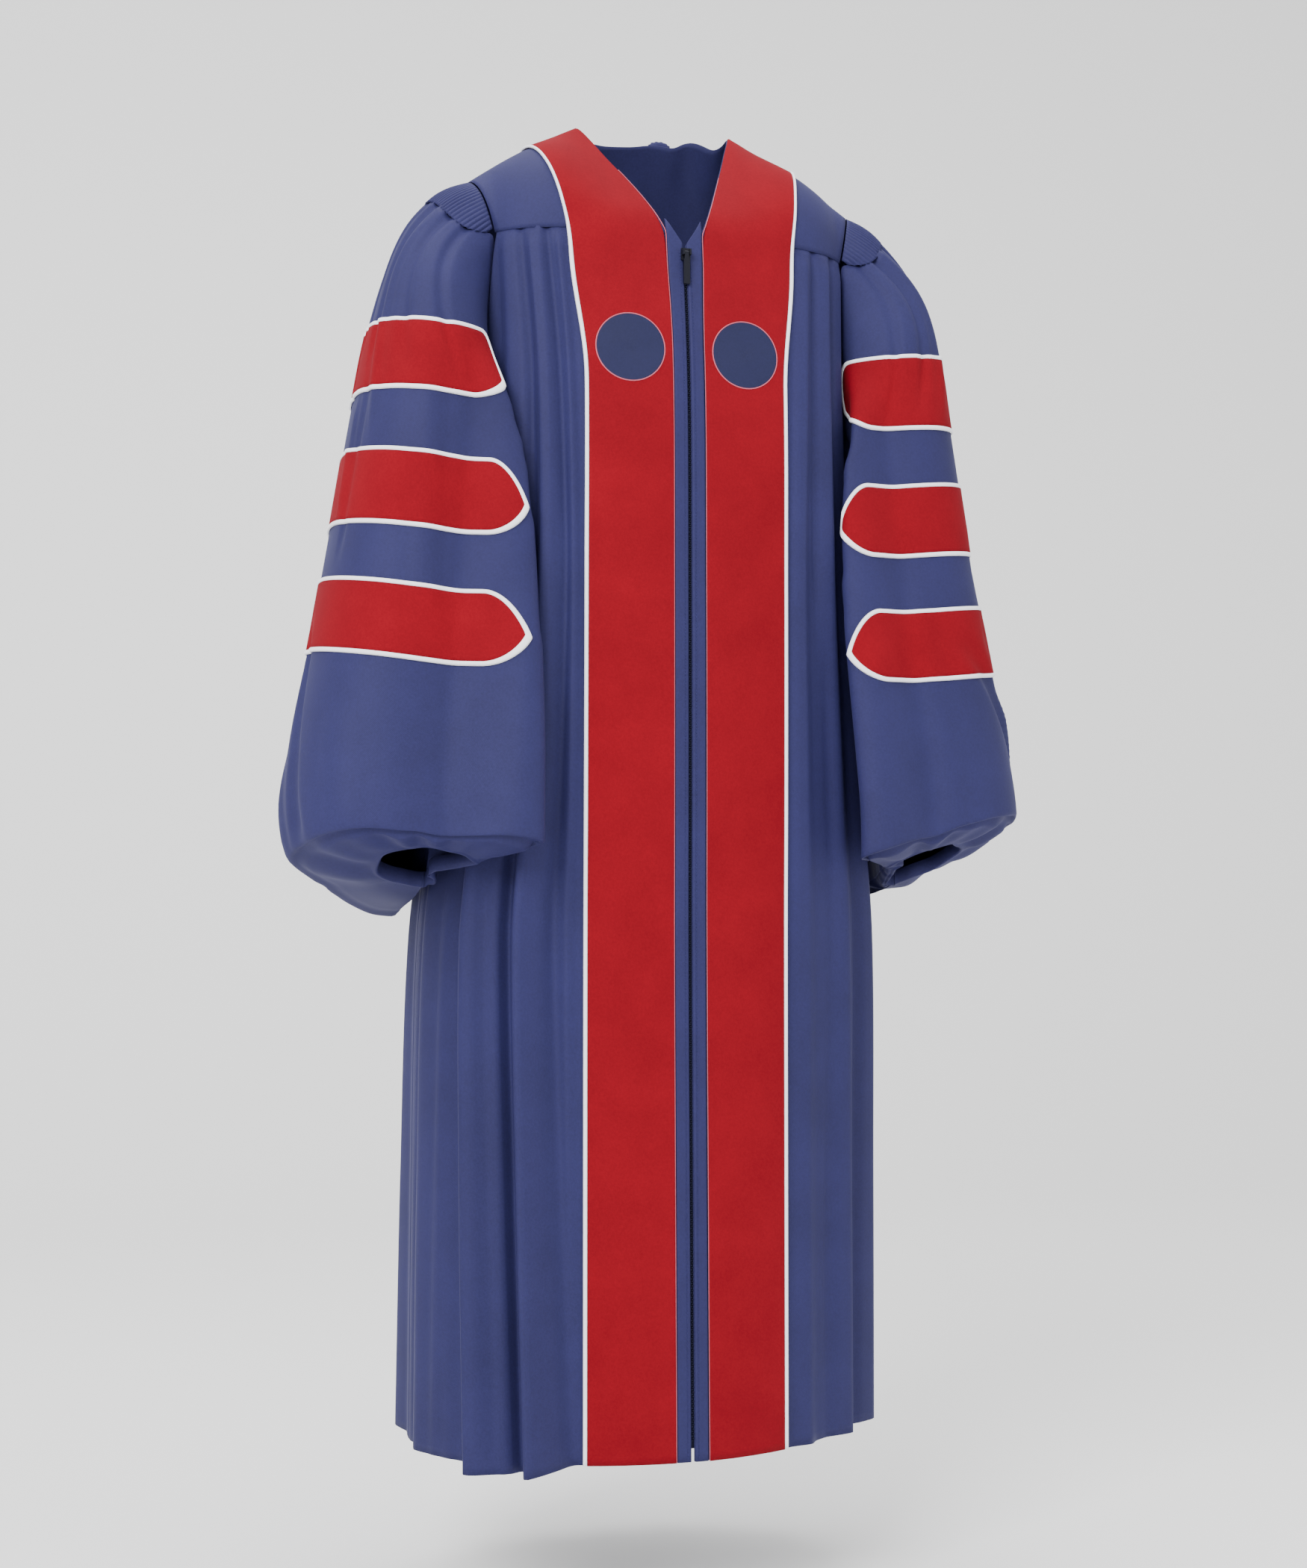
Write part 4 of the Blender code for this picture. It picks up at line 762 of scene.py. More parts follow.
@dataclass
class BodyForm:
    """The form of the body cloth, from its outline, folds and creases."""

    def profile(self, height: Any) -> list[np.ndarray]:
        """Return the outline's sizes at the heights."""
        return BODY.at(height)

    def fold_rise(self, angle: np.ndarray, height: np.ndarray) -> np.ndarray:
        """Return how far the long folds lift the cloth, their crests rounded."""
        fade = soft((YOKE_Z - height) / 0.02)
        total = np.zeros(np.broadcast(angle, height).shape)
        weights = ((-1.35, 1), (-0.9, 2), (-0.45, 3), (0.0, 4), (0.45, 3), (0.9, 2), (1.35, 1))
        for shift, weight in weights:
            turned = (angle + shift + 180.0) % 360.0 - 180.0
            side = np.where(turned >= 0.0, 1, -1)
            for fold in FOLDS:
                place = np.interp(-height, [-level for level in FOLD_HEIGHTS], fold.places)
                depth = np.interp(-height, [-level for level in FOLD_HEIGHTS], fold.depths)
                off = np.abs(turned) - place
                marks = [-fold.slope - 2.0, -fold.slope, 0.0, fold.drop]
                share = np.interp(off, marks, [0.0, fold.start, 1.0, 0.0], left=0.0, right=0.0)
                total += np.where(side == fold.side, share * depth * fade, 0.0) * weight / 16.0
        return total

    def crease_rise(self, angle: np.ndarray, height: np.ndarray) -> np.ndarray:
        """Return how far the small creases and the gathers under the yoke lift the cloth."""
        total = np.zeros(np.broadcast(angle, height).shape)
        for crease in BODY_CREASES:
            total += crease.rise(angle, height)
        back = soft((np.abs(angle) - 118.0) / 8.0)
        wave = np.sin(np.radians(angle) * 52.0 + 1.3 * np.sin(np.radians(angle) * 9.0))
        fall = np.exp(-(YOKE_Z - height) / 0.055)
        return total + back * 0.0011 * wave * fall

    def point(self, angle: np.ndarray, height: np.ndarray, rise: Any = None) -> np.ndarray:
        """Return the outside of the body cloth.

        Args:
            angle: Signed angles from the centre front, in degrees.
            height: Heights.
            rise: How far the cloth is lifted, or None for its folds and creases.

        Returns:
            An array of points.
        """
        angle, height = np.broadcast_arrays(np.asarray(angle, float), np.asarray(height, float))
        half, centre, front, back, square_r, square_l, square_b = self.profile(height)
        turn = np.radians(angle)
        sine = np.sin(turn)
        cosine = np.cos(turn)
        depth = np.where(cosine > 0.0, front, back)
        square = np.where(cosine > 0.0, np.where(sine > 0.0, square_l, square_r), square_b)
        across = np.abs(sine) ** (2.0 / square)
        along = np.abs(cosine) ** (2.0 / square)
        normal_x = np.sign(sine) * across ** (square - 1.0) / half
        normal_y = -np.sign(cosine) * along ** (square - 1.0) / depth
        size = np.hypot(normal_x, normal_y)
        if rise is None:
            rise = self.fold_rise(angle, height) + self.crease_rise(angle, height)
        x = np.sign(sine) * half * across + normal_x / size * rise
        y = centre - np.sign(cosine) * depth * along + normal_y / size * rise
        return np.stack((x, y, height), axis=-1)

    def angle_of_x(self, x: np.ndarray, height: np.ndarray) -> np.ndarray:
        """Return the angle where the plain front crosses a distance from the centre."""
        half, centre, front, back, square_r, square_l, square_b = self.profile(height)
        square = np.where(np.asarray(x) > 0.0, square_l, square_r)
        share = np.minimum(1.0, np.abs(x) / half) ** (square / 2.0)
        return np.sign(x) * np.degrees(np.arcsin(share))

    def armhole_top(self, angle: np.ndarray) -> np.ndarray:
        """Return the height of the body cloth's upper edge."""
        reach = np.abs(angle)
        share = np.where(reach <= 90.0, (reach - 62.0) / 28.0, (120.0 - reach) / 30.0)
        share = np.clip(share, 0.0, 1.0)
        return blend(YOKE_Z, UNDERARM_Z, np.sin(share * math.pi / 2.0) ** 1.2)

    def hem(self, angle: np.ndarray) -> np.ndarray:
        """Return the hem height, a little lower under the right side's folds."""
        return HEM_Z - 0.006 * soft((-angle - 24.0) / 14.0) * soft((angle + 140.0) / 50.0)

    def front_line(self, x: Any, height: Any) -> np.ndarray:
        """Return points on the front at a distance from the centre, which widens to the yoke past the V."""
        x = np.asarray(x, dtype=float)
        height = np.asarray(height, dtype=float)
        share = np.clip((np.abs(x) - 0.031) / 0.035, 0.0, 1.0)
        widened = x * (1.0 + 0.125 * share * soft((height + 0.30) / 0.14))
        angle = self.angle_of_x(widened, height)
        return self.point(angle, height)


FORM = BodyForm()


@dataclass
class YokeForm:
    """The form of the yoke: arches from the front seam over the shoulder to the back seam."""

    def arch(self, x: np.ndarray, share: np.ndarray) -> np.ndarray:
        """Return points of the arch.

        Args:
            x: Signed distances from the centre.
            share: 0 at the front seam, 0.5 on the shoulder, 1 at the back seam.

        Returns:
            An array of points.
        """
        x, share = np.broadcast_arrays(np.asarray(x, float), np.asarray(share, float))
        reach = np.abs(x)
        crest_y = blend(-0.012, -0.032, soft((reach - NECK_X) / (SHOULDER_X - NECK_X)))
        round_share = soft((reach - 0.06) / 0.09)
        run = np.maximum(0.0, reach - NECK_X)
        inside = np.where(share < 0.5, 0.0, BACK_NECK_RISE * (1.0 - (reach / NECK_X) ** 2))
        crest_z = np.where(reach < NECK_X, inside, -0.52 * run - 0.96 * run * run)
        crest_z = crest_z + self.neck_lift(x, (share > 0.5) & (reach < NECK_X))
        held_x = np.clip(x, -YOKE_FRONT_X, YOKE_FRONT_X)
        front_y = FORM.point(FORM.angle_of_x(held_x, YOKE_Z), np.full_like(x, YOKE_Z), 0.0)[..., 1]
        half, centre, front, back, square_r, square_l, square_b = FORM.profile(YOKE_Z)
        flat = (np.minimum(reach, YOKE_BACK_X) / half) ** square_b
        back_y = centre + back * (1.0 - flat) ** (1.0 / square_b)
        ahead = share <= 0.5
        step = np.where(ahead, 1.0 - share * 2.0, share * 2.0 - 1.0)
        end_y = np.where(ahead, front_y, back_y)
        lean_first = np.where(ahead, blend(0.33, 0.55, round_share), 0.55)
        first_y = blend(crest_y, end_y, lean_first)
        first_z = np.where(ahead, blend(blend(crest_z, YOKE_Z, 0.30), crest_z, round_share), crest_z)
        second_z = blend(YOKE_Z, crest_z, 0.55)
        ahead_z = blend(blend(YOKE_Z, crest_z, 0.20), blend(YOKE_Z, crest_z, 0.5), round_share)
        second_z = np.where(ahead, ahead_z, second_z)
        rest = 1.0 - step
        y = crest_y * rest ** 3 + first_y * 3 * rest * rest * step + end_y * (3 * rest * step * step + step ** 3)
        z = crest_z * rest ** 3 + first_z * 3 * rest * rest * step
        z = z + second_z * 3 * rest * step * step + YOKE_Z * step ** 3
        return np.stack((x, y, z), axis=-1)

    def neck_lift(self, x: np.ndarray, behind: np.ndarray) -> np.ndarray:
        """Return how far the worn neck edge stands off its even line.

        Args:
            x: Signed distances from the centre.
            behind: Where the edge is the back one.

        Returns:
            Heights: the left stands higher, the middle of the back lower.
        """
        left = LEFT_NECK_LIFT * bump((x - NECK_X) / 0.057)
        back = BACK_NECK_LIFT * bump((x - 0.0625) / 0.0205) - BACK_NECK_SAG * bump((x + 0.012) / 0.050)
        return left + np.where(behind, back, 0.0)

    def rows(self, place: np.ndarray) -> list[np.ndarray]:
        """Return the signed row values at places from -13, the right front seam, over 0, the centre back."""
        keyed = []
        for index, row in enumerate(YOKE_ROWS[:-1]):
            keyed.append((index - 13.0, -row[0], row[1], -row[2], row[3], row[4]))
        last = YOKE_ROWS[-1]
        keyed.append((0.0, 0.0, last[1], 0.0, last[3], last[4]))
        for index, row in enumerate(reversed(YOKE_ROWS[:-1])):
            keyed.append((index + 1.0, row[0], row[1], row[2], row[3], row[4]))
        return SizeTable(tuple(keyed)).at(place)

    def point(self, place: np.ndarray, share: np.ndarray, cover: bool = False) -> np.ndarray:
        """Return points of the yoke.

        Args:
            place: Row places from -13 to 13.
            share: Share from the neck edge to the outer edge.
            cover: Whether the share is of the velvet's width.

        Returns:
            An array of points.
        """
        neck_x, neck_share, outer_x, outer_share, covered = self.rows(place)
        if cover:
            share = share * covered
        return self.arch(blend(neck_x, outer_x, share), blend(neck_share, outer_share, share))


YOKE = YokeForm()


class BodyCloth:
    """The two fronts and the back, as one smooth form cut at the side seams and the zip."""

    rows: int = 132

    def grid(self, angle_top: np.ndarray, angles: Any, tops: np.ndarray) -> ClothGrid:
        """Return a body grid whose columns run down lines of angle.

        Args:
            angle_top: Each column's angle at the yoke; not used.
            angles: Function from column index and height to the angle.
            tops: Each column's upper height.

        Returns:
            The grid.
        """
        level = np.linspace(0.0, 1.0, self.rows) ** 1.04
        low = FORM.hem(angles(np.full(len(tops), HEM_Z)))
        heights = blend(tops[:, None], low[:, None], level[None, :])
        turned = np.stack([angles(heights[:, row]) for row in range(self.rows)], axis=1)
        points = FORM.point(turned, heights)
        tucked = soft((heights - (YOKE_Z - 0.012)) / 0.010)
        grid = ClothGrid(points)
        return grid.lifted(-0.0009 * tucked)

    def front(self, side: Side) -> ClothGrid:
        """Return one front: straight lines beside the zip, fold lines past the piping."""
        sign = side.value
        lines: list[tuple[str, tuple[float, ...]]] = []
        for x in (FRONT_EDGE_X, V_X, 0.031, 0.066, PIPE_OUT_X):
            lines.append(("x", (x,)))
        for fold in FOLDS:
            if fold.side == sign and fold.places[0] < 90.0:
                lines.append(("angle", tuple(place - fold.slope for place in fold.places)))
                lines.append(("angle", fold.places))
                lines.append(("angle", tuple(place + fold.drop for place in fold.places)))
        lines.append(("angle", (SIDE_SEAM - 0.1,) * 4))
        return self.between(lines, sign, 7)

    def back(self) -> ClothGrid:
        """Return the back, from the left side seam round to the right."""
        lines: list[tuple[str, tuple[float, ...]]] = [("angle", (SIDE_SEAM + 0.1,) * 4)]
        for fold in FOLDS:
            if fold.side > 0 and fold.places[0] > 90.0:
                lines.append(("angle", tuple(place - fold.slope for place in fold.places)))
                lines.append(("angle", fold.places))
                lines.append(("angle", tuple(place + fold.drop for place in fold.places)))
        lines.append(("angle", (180.0,) * 4))
        right = []
        for fold in FOLDS:
            if fold.side < 0 and fold.places[0] > 90.0:
                right.append(("angle", tuple(360.0 - place + fold.slope for place in fold.places)))
                right.append(("angle", tuple(360.0 - place for place in fold.places)))
                right.append(("angle", tuple(360.0 - place - fold.drop for place in fold.places)))
        lines.extend(reversed(right))
        lines.append(("angle", (360.0 - SIDE_SEAM - 0.1,) * 4))
        return self.between(lines, 1, 6)

    def between(self, lines: list[tuple[str, tuple[float, ...]]], sign: int, parts: int) -> ClothGrid:
        """Return a grid with several columns between each two lines.

        Args:
            lines: Each a distance from the centre or four angles.
            sign: The side.
            parts: How many columns each gap takes.

        Returns:
            The grid.
        """
        places = np.linspace(0.0, len(lines) - 1.0, (len(lines) - 1) * parts + 1)
        left = np.minimum(places.astype(int), len(lines) - 2)
        share = places - left

        def line_angle(index: int, height: np.ndarray) -> np.ndarray:
            kind, values = lines[index]
            if kind == "x":
                widen = 1.0 + (0.125 * soft((height + 0.30) / 0.14) if values[0] > 0.05 else 0.0)
                return np.abs(FORM.angle_of_x(sign * values[0] * widen, height))
            return np.interp(-height, [-level for level in FOLD_HEIGHTS], values)

        def angles(heights: np.ndarray) -> np.ndarray:
            every = np.stack([line_angle(index, heights) for index in range(len(lines))])
            columns = np.arange(len(places))
            first = every[left, columns]
            second = every[left + 1, columns]
            turned = sign * blend(first, second, share)
            return np.where(turned > 180.0, turned - 360.0, turned)

        at_yoke = angles(np.full(len(places), YOKE_Z))
        tops = FORM.armhole_top(at_yoke)
        if lines[0][0] == "x":
            x = np.interp(places, range(5), (FRONT_EDGE_X, V_X, 0.031, 0.066, PIPE_OUT_X))
            edge = np.clip(x / V_X, 0.0, 1.0)
            tops = np.where(places < 4.0, blend(V_Z, YOKE_Z, edge), tops)
        tops = np.where(tops > YOKE_Z - 0.001, YOKE_Z + 0.002, tops)
        return self.grid(at_yoke, angles, tops)

    def build(self) -> list[bpy.types.Object]:
        made = []
        back = self.back().make("back_cloth", NAVY)
        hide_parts("back")
        made.append(back)
        for side in Side:
            front = self.front(side).make("front_cloth_" + side.label, NAVY)
            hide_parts("front_" + side.label)
            made.append(front)
        return made


class YokeCloth:
    """The yoke, one piece over both shoulders."""

    columns: int = 157
    rows: int = 40

    def grid(self) -> ClothGrid:
        """Return the yoke's grid, from the right front seam over the back to the left."""
        place = np.linspace(-13.0, 13.0, self.columns)[:, None]
        share = np.linspace(0.0, 1.0, self.rows)[None, :]
        return ClothGrid(YOKE.point(place, share), axis=(0.0, -0.01)).smoothed(2)

    def build(self) -> bpy.types.Object:
        made = self.grid().make("yoke_cloth", NAVY)
        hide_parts("yoke")
        return made


@dataclass
class Trim:
    """What lies along the front edges and round the neck on one side: velvet, piping and placket.

    Attributes:
        side: The wearer's side.
        front_rows: Rows on the front.
        yoke_rows: Rows on the yoke.
    """

    side: Side
    front_rows: int = 150
    yoke_rows: int = 84

    def strip(self, xs: np.ndarray, shares: np.ndarray, lifts: np.ndarray, first: float = 0.0) -> ClothGrid:
        """Return a grid that runs from the centre back over the yoke and down the front.

        Args:
            xs: Each column's distance from the centre on the front.
            shares: Each column's share of the velvet's width on the yoke.
            lifts: Each column's height above the cloth.
            first: Step of the yoke where it starts, 0 at the centre back.

        Returns:
            The grid.
        """
        sign = self.side.value
        steps = np.linspace(first + 0.004, 13.0, self.yoke_rows)
        on_yoke = YOKE.point(sign * steps[None, :], shares[:, None], cover=True)
        heights = np.linspace(YOKE_Z - 0.0045, HEM_Z - 0.0004, self.front_rows)
        inward = np.clip((PIPE_IN_X - xs[:, None]) / (PIPE_IN_X - PANEL_IN_X), 0.0, 1.0)
        moved = xs[:, None] + (panel_edge(heights) - PANEL_IN_X)[None, :] * inward
        on_front = FORM.front_line(sign * moved, heights[None, :])
        points = np.concatenate((on_yoke, on_front), axis=1)
        seam = slice(self.yoke_rows - 7, self.yoke_rows + 4)
        for step in range(16):
            middle = (points[:, seam.start - 1:seam.stop - 1] + points[:, seam.start + 1:seam.stop + 1]) / 2.0
            points[:, seam] = blend(points[:, seam], middle, 0.5)
        grid = ClothGrid(points, axis=(0.0, -0.01)).smoothed(1)
        spread = np.broadcast_to(lifts[:, None], points.shape[:2])
        return grid.lifted(spread + SEAM + 0.0004)

    def panel(self) -> bpy.types.Object:
        """Make the velvet panel, a little raised between its edges."""
        across = np.concatenate(([0.0, 0.006, 0.014, 0.03], np.linspace(0.06, 0.94, 22), [0.97, 0.986, 0.994, 1.0]))
        xs = blend(PANEL_IN_X, PIPE_IN_X + 0.0012, across)
        shares = blend(0.013, 0.972, across)
        lifts = 0.0004 + 0.0011 * np.sqrt(np.clip(np.minimum(across, 1.0 - across) / 0.014, 0.0, 1.0))
        made = self.strip(xs, shares, lifts).make("velvet_panel_" + self.side.label, VELVET, 0.0008)
        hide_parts("panel_" + self.side.label)
        return made

    def piping(self) -> bpy.types.Object:
        """Make the corded piping along the panel's outer edge."""
        across = np.linspace(0.0, 1.0, 11)
        xs = blend(PIPE_IN_X + 0.0008, PIPE_OUT_X - 0.0004, across)
        shares = blend(0.965, 0.998, across)
        lifts = 0.0002 + 0.0026 * np.sqrt(np.clip(1.0 - (2.0 * across - 1.0) ** 2, 0.0, 1.0))
        made = self.strip(xs, shares, lifts).make("piping_" + self.side.label + "_cord", PIPING, 0.0006)
        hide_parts("piping_" + self.side.label)
        return made

    def placket(self) -> bpy.types.Object:
        """Make the doubled navy edge beside the zip."""
        sign = self.side.value
        across = np.array([0.0, 0.02, 0.07, 0.16, 0.3, 0.45, 0.6, 0.75, 0.88, 0.96, 1.0])
        level = np.concatenate((np.linspace(0.0, 0.10, 60, endpoint=False), np.linspace(0.10, 1.0, 140)))
        tops = V_Z + NECK_SLOPE * blend(0.0019, PLACKET_TOP_X, across)
        heights = blend(tops[:, None], HEM_Z - 0.0002, level[None, :])
        xs = blend(0.0019, panel_edge(heights) - 0.0006, across[:, None])
        grid = ClothGrid(self.neck_front(sign * xs, heights), axis=(0.0, 0.02)).smoothed(1)
        edge = np.sqrt(np.clip(np.minimum(across, 1.0 - across) / 0.07, 0.0, 1.0))
        lifts = np.broadcast_to((SEAM + 0.0002 + 0.0014 * edge)[:, None], heights.shape)
        made = grid.lifted(lifts).make("placket_cloth_" + self.side.label, NAVY, 0.0006)
        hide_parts("placket_" + self.side.label)
        return made

    def neck_front(self, x: np.ndarray, height: np.ndarray) -> np.ndarray:
        """Return points of the front that lean back with the yoke above its seam."""
        points = FORM.front_line(x, np.minimum(height, YOKE_Z))
        shares = np.linspace(0.0, 0.30, 61)
        arches = YOKE.arch(x[:, :1] * np.ones(61), np.broadcast_to(shares, (len(x), 61)))
        for index in range(len(x)):
            above = height[index] > YOKE_Z
            y = np.interp(height[index], arches[index, :, 2], arches[index, :, 1])
            points[index, above, 1] = points[index, above, 1] + (y - arches[index, 0, 1])[above]
            points[index, above, 2] = height[index][above]
        return points

    def painted_edge_highlight(self) -> bpy.types.Object:
        """Make the thin pale pink line on the panel's inner edge, a painted highlight where the velvet's edge catches
        the light.
        """
        across = np.linspace(0.0, 1.0, 6)
        xs = blend(PANEL_IN_X - 0.0003, PANEL_IN_X + 0.0005, across)
        shares = blend(0.008, 0.017, across)
        lifts = 0.0010 + 0.0007 * np.sqrt(np.clip(1.0 - (2.0 * across - 1.0) ** 2, 0.0, 1.0))
        # Painted highlight: a pale pink strip along the velvet's inner edge.
        return self.strip(xs, shares, lifts, 10.0).make("edge_thread_" + self.side.label, ROSE_THREAD_AND_PAINTED_HIGHLIGHT, 0.0003)

    def stitches(self) -> bpy.types.Object:
        """Make the top stitching of the placket, a row of short threads."""
        pitch = 0.0032
        count = int((YOKE_Z - 0.02 - HEM_Z) / pitch)
        heights = np.linspace(YOKE_Z - 0.02, HEM_Z + 0.004, count)
        points = FORM.front_line(np.full(count, self.side.value * 0.0056), heights)
        points = points + np.array([0.0, -(SEAM + 0.0019), 0.0])
        return stitch_row("placket_stitch_" + self.side.label, points, pitch * 0.66, 0.00028, THREAD)

    def patch(self) -> list[bpy.types.Object]:
        """Make the bare round patch with its satin-stitched border."""
        sign = self.side.value
        rings = np.concatenate((np.linspace(0.02, 0.90, 12), [0.94, 0.97, 0.99, 1.0]))
        turn = np.linspace(0.0, 2.0 * math.pi, 96, endpoint=False)
        x = PATCH_X + PATCH_RADIUS * np.cos(turn)[:, None] * rings[None, :]
        z = PATCH_Z + PATCH_RADIUS * np.sin(turn)[:, None] * rings[None, :]
        base = FORM.point(FORM.angle_of_x(sign * x, z), z)
        grid = ClothGrid(base, wrap=True)
        away = facing_front(grid.normals())
        lift = 0.0021 + 0.0006 * np.sqrt(np.clip((1.0 - rings) / 0.03, 0.0, 1.0))
        disc = ClothGrid(base + away * lift[None, :, None], wrap=True)
        made = [disc.make("patch_cloth_" + self.side.label, PATCH, 0.0005)]
        close_centre(made[0])
        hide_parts("patch_" + self.side.label)
        across = np.linspace(0.0, 2.0 * math.pi, 9)
        turn = np.linspace(0.0, 2.0 * math.pi, 432, endpoint=False)
        ribs = 0.00012 * np.cos(turn * 108.0)
        reach = PATCH_RADIUS + 0.0006 * np.cos(across)[None, :]
        height = 0.0024 + (0.0006 + ribs[:, None]) * np.sin(across)[None, :]
        x = PATCH_X + reach * np.cos(turn)[:, None]
        z = PATCH_Z + reach * np.sin(turn)[:, None]
        base = FORM.point(FORM.angle_of_x(sign * x, z), z)
        away = np.broadcast_to(facing_front(grid.normals()).mean(axis=(0, 1)), base.shape)
        border = ClothGrid(base + away * height[..., None], wrap=True, axis=(sign * PATCH_X, 0.5))
        # The border's pale pink is the thread's own colour.
        made.append(border.make("patch_border_" + self.side.label, ROSE_THREAD_AND_PAINTED_HIGHLIGHT, 0.0, closed_rows=True))
        return made

    def build(self) -> list[bpy.types.Object]:
        """Make all the trim of this side."""
        made = [self.panel(), self.piping(), self.placket(), self.painted_edge_highlight(), self.stitches()]
        return made + self.patch()


def panel_edge(height: Any) -> Any:
    """Return how far the velvet's inner edge is from the centre: it opens a little towards the neck."""
    return PANEL_IN_X + (PLACKET_TOP_X - PANEL_IN_X) * soft((height + 0.262) / 0.135)


def facing_front(normals: np.ndarray) -> np.ndarray:
    """Return directions turned to the front, where y is negative."""
    return np.where(normals[..., 1:2] > 0.0, -normals, normals)


def close_centre(piece: bpy.types.Object) -> None:
    """Fill the small ring left at the centre of a round piece."""
    shape = bmesh.new()
    shape.from_mesh(piece.data)
    rows = shape.verts.layers.int["row"]
    rim = [edge for edge in shape.edges if edge.is_boundary and all(vertex[rows] == 0 for vertex in edge.verts)]
    bmesh.ops.holes_fill(shape, edges=rim, sides=0)
    shape.to_mesh(piece.data)
    shape.free()
    piece.data.shade_smooth()


def stitch_row(name: str, points: np.ndarray, length: float, radius: float, finish: Finish) -> bpy.types.Object:
    """Make a row of short sewn threads along a line.

    Args:
        name: The piece's name.
        points: Middle of each stitch, in order.
        length: Length of a stitch.
        radius: Its radius.
        finish: Its finish.

    Returns:
        The object.
    """
    shape = bmesh.new()
    ahead = np.gradient(points, axis=0)
    for point, way in zip(points, ahead):
        turn = Vector(way).to_track_quat("Z", "Y").to_matrix().to_4x4()
        place = Matrix.Translation(Vector(point)) @ turn
        bmesh.ops.create_cone(
            shape, cap_ends=True, segments=5, radius1=radius, radius2=radius, depth=length, matrix=place,
        )
    return finish_object(name, shape, finish)


@dataclass
class SleeveForm:
    """The form of one sleeve, kept clear of the folded body.

    Attributes:
        side: The wearer's side.
    """

    side: Side

    def outline(self, key: int) -> tuple[np.ndarray, np.ndarray]:
        """Return the folded body outline at a height, as segment starts and edges.

        Args:
            key: The height in steps of 2.5 mm.

        Returns:
            The starts and the edges of the outline's segments.
        """
        if key not in OUTLINES:
            level = key / 400.0
            angles = np.arange(240) * 1.5 - 180.0
            rises = FORM.fold_rise(angles, np.full(240, level))
            reach = np.max([np.roll(rises, step) for step in range(-4, 5)], axis=0)
            starts = FORM.point(angles, np.full(240, level), reach)[:, :2]
            OUTLINES[key] = (starts, np.roll(starts, -1, axis=0) - starts)
        return OUTLINES[key]

    def clear(self, centre: np.ndarray, way: np.ndarray, reach: np.ndarray, height: np.ndarray,
              gap: np.ndarray) -> np.ndarray:
        """Return how far rays go before they come nearer than a gap to the body cloth.

        Args:
            centre: Start of each ray.
            way: Its direction.
            reach: Its length.
            height: Its height.
            gap: The least distance for each ray.

        Returns:
            The shortened lengths.
        """
        keys = np.round(height * 400.0).astype(int)
        best = reach.copy()
        for key in np.unique(keys):
            rays = np.nonzero(keys == key)[0]
            starts, edges = self.outline(int(key))
            start = centre[rays][:, None, :]
            turn = way[rays][:, None, :]
            cross = turn[..., 0] * edges[:, 1] - turn[..., 1] * edges[:, 0]
            cross = np.where(np.abs(cross) < 1e-12, 1e-12, cross)
            gaps = starts[None] - start
            along = (gaps[..., 0] * edges[:, 1] - gaps[..., 1] * edges[:, 0]) / cross
            beside = (gaps[..., 0] * turn[..., 1] - gaps[..., 1] * turn[..., 0]) / cross
            met = np.where((beside >= 0.0) & (beside <= 1.0) & (along > 0.0), along, 9.0).min(axis=1)
            found = np.minimum(reach[rays], met)
            square = (edges * edges).sum(axis=1)
            for attempt in range(60):
                place = centre[rays] + way[rays] * found[:, None]
                away = place[:, None, :] - starts[None]
                share = np.clip((away * edges[None]).sum(axis=2) / square, 0.0, 1.0)
                near = away - edges[None] * share[..., None]
                distance = np.sqrt((near * near).sum(axis=2)).min(axis=1)
                short = (distance < gap[rays]) & (found > 0.02)
                if not short.any():
                    break
                step = np.maximum(0.0004, (gap[rays] - distance) * 0.7)
                found = np.where(short, found - step, found)
            best[rays] = found
        return best

    def ring(self, share: np.ndarray, height: np.ndarray) -> np.ndarray:
        """Return points of the sleeve's outline at heights, clear of the body.

        Args:
            share: Share round the sleeve, 0 at the outer line, then the front, the body side and the back.
            height: Heights.

        Returns:
            An array of points.
        """
        sign = self.side.value
        shape = np.broadcast(share, height).shape
        share = np.broadcast_to(share, shape).ravel() % 1.0
        height = np.broadcast_to(height, shape).ravel()
        outer, inner, front, back, lap = SLEEVES[self.side].at(height)
        centre_x = sign * (outer * 0.56 + inner * 0.44)
        centre_y = front * 0.54 + back * 0.46
        turn = share * 2.0 * math.pi
        way_x = sign * np.cos(turn)
        way_y = -np.sin(turn)
        outward = way_x * sign > 0.0
        half_x = np.where(outward, np.abs(sign * outer - centre_x), np.abs(centre_x - sign * inner))
        half_y = np.where(way_y < 0.0, centre_y - front, back - centre_y)
        bell = blend(2.1, 1.12, soft((-0.30 - height) / 0.40))
        square = np.where(outward & (way_y > 0.0), bell, 2.3)
        reach = ((np.abs(way_x) / half_x) ** square + (np.abs(way_y) / half_y) ** square) ** (-1.0 / square)
        reach = reach + lap * 1.25 * bump((share - 0.372) / 0.075)
        gap = np.where(share < 0.386, LAP_CLEAR, SLEEVE_CLEAR + 0.014 * np.maximum(0.0, 1.0 - np.abs(share - 0.397) / 0.02))
        gap = gap + 0.004 * soft((-0.60 - height) / 0.15)
        tucked = (np.abs(centre_x) - inner - TUCK) / np.maximum(1e-6, np.abs(way_x))
        reach = np.where((share > 0.386) & (share < 0.470), np.minimum(reach, tucked), reach)
        centre = np.stack((centre_x, centre_y), axis=-1)
        way = np.stack((way_x, way_y), axis=-1)
        reach = self.clear(centre, way, reach, np.minimum(height, YOKE_Z - 0.02), gap)
        x = centre_x + way_x * reach
        y = centre_y + way_y * reach
        return np.stack((x, y, height), axis=-1).reshape(shape + (3,))

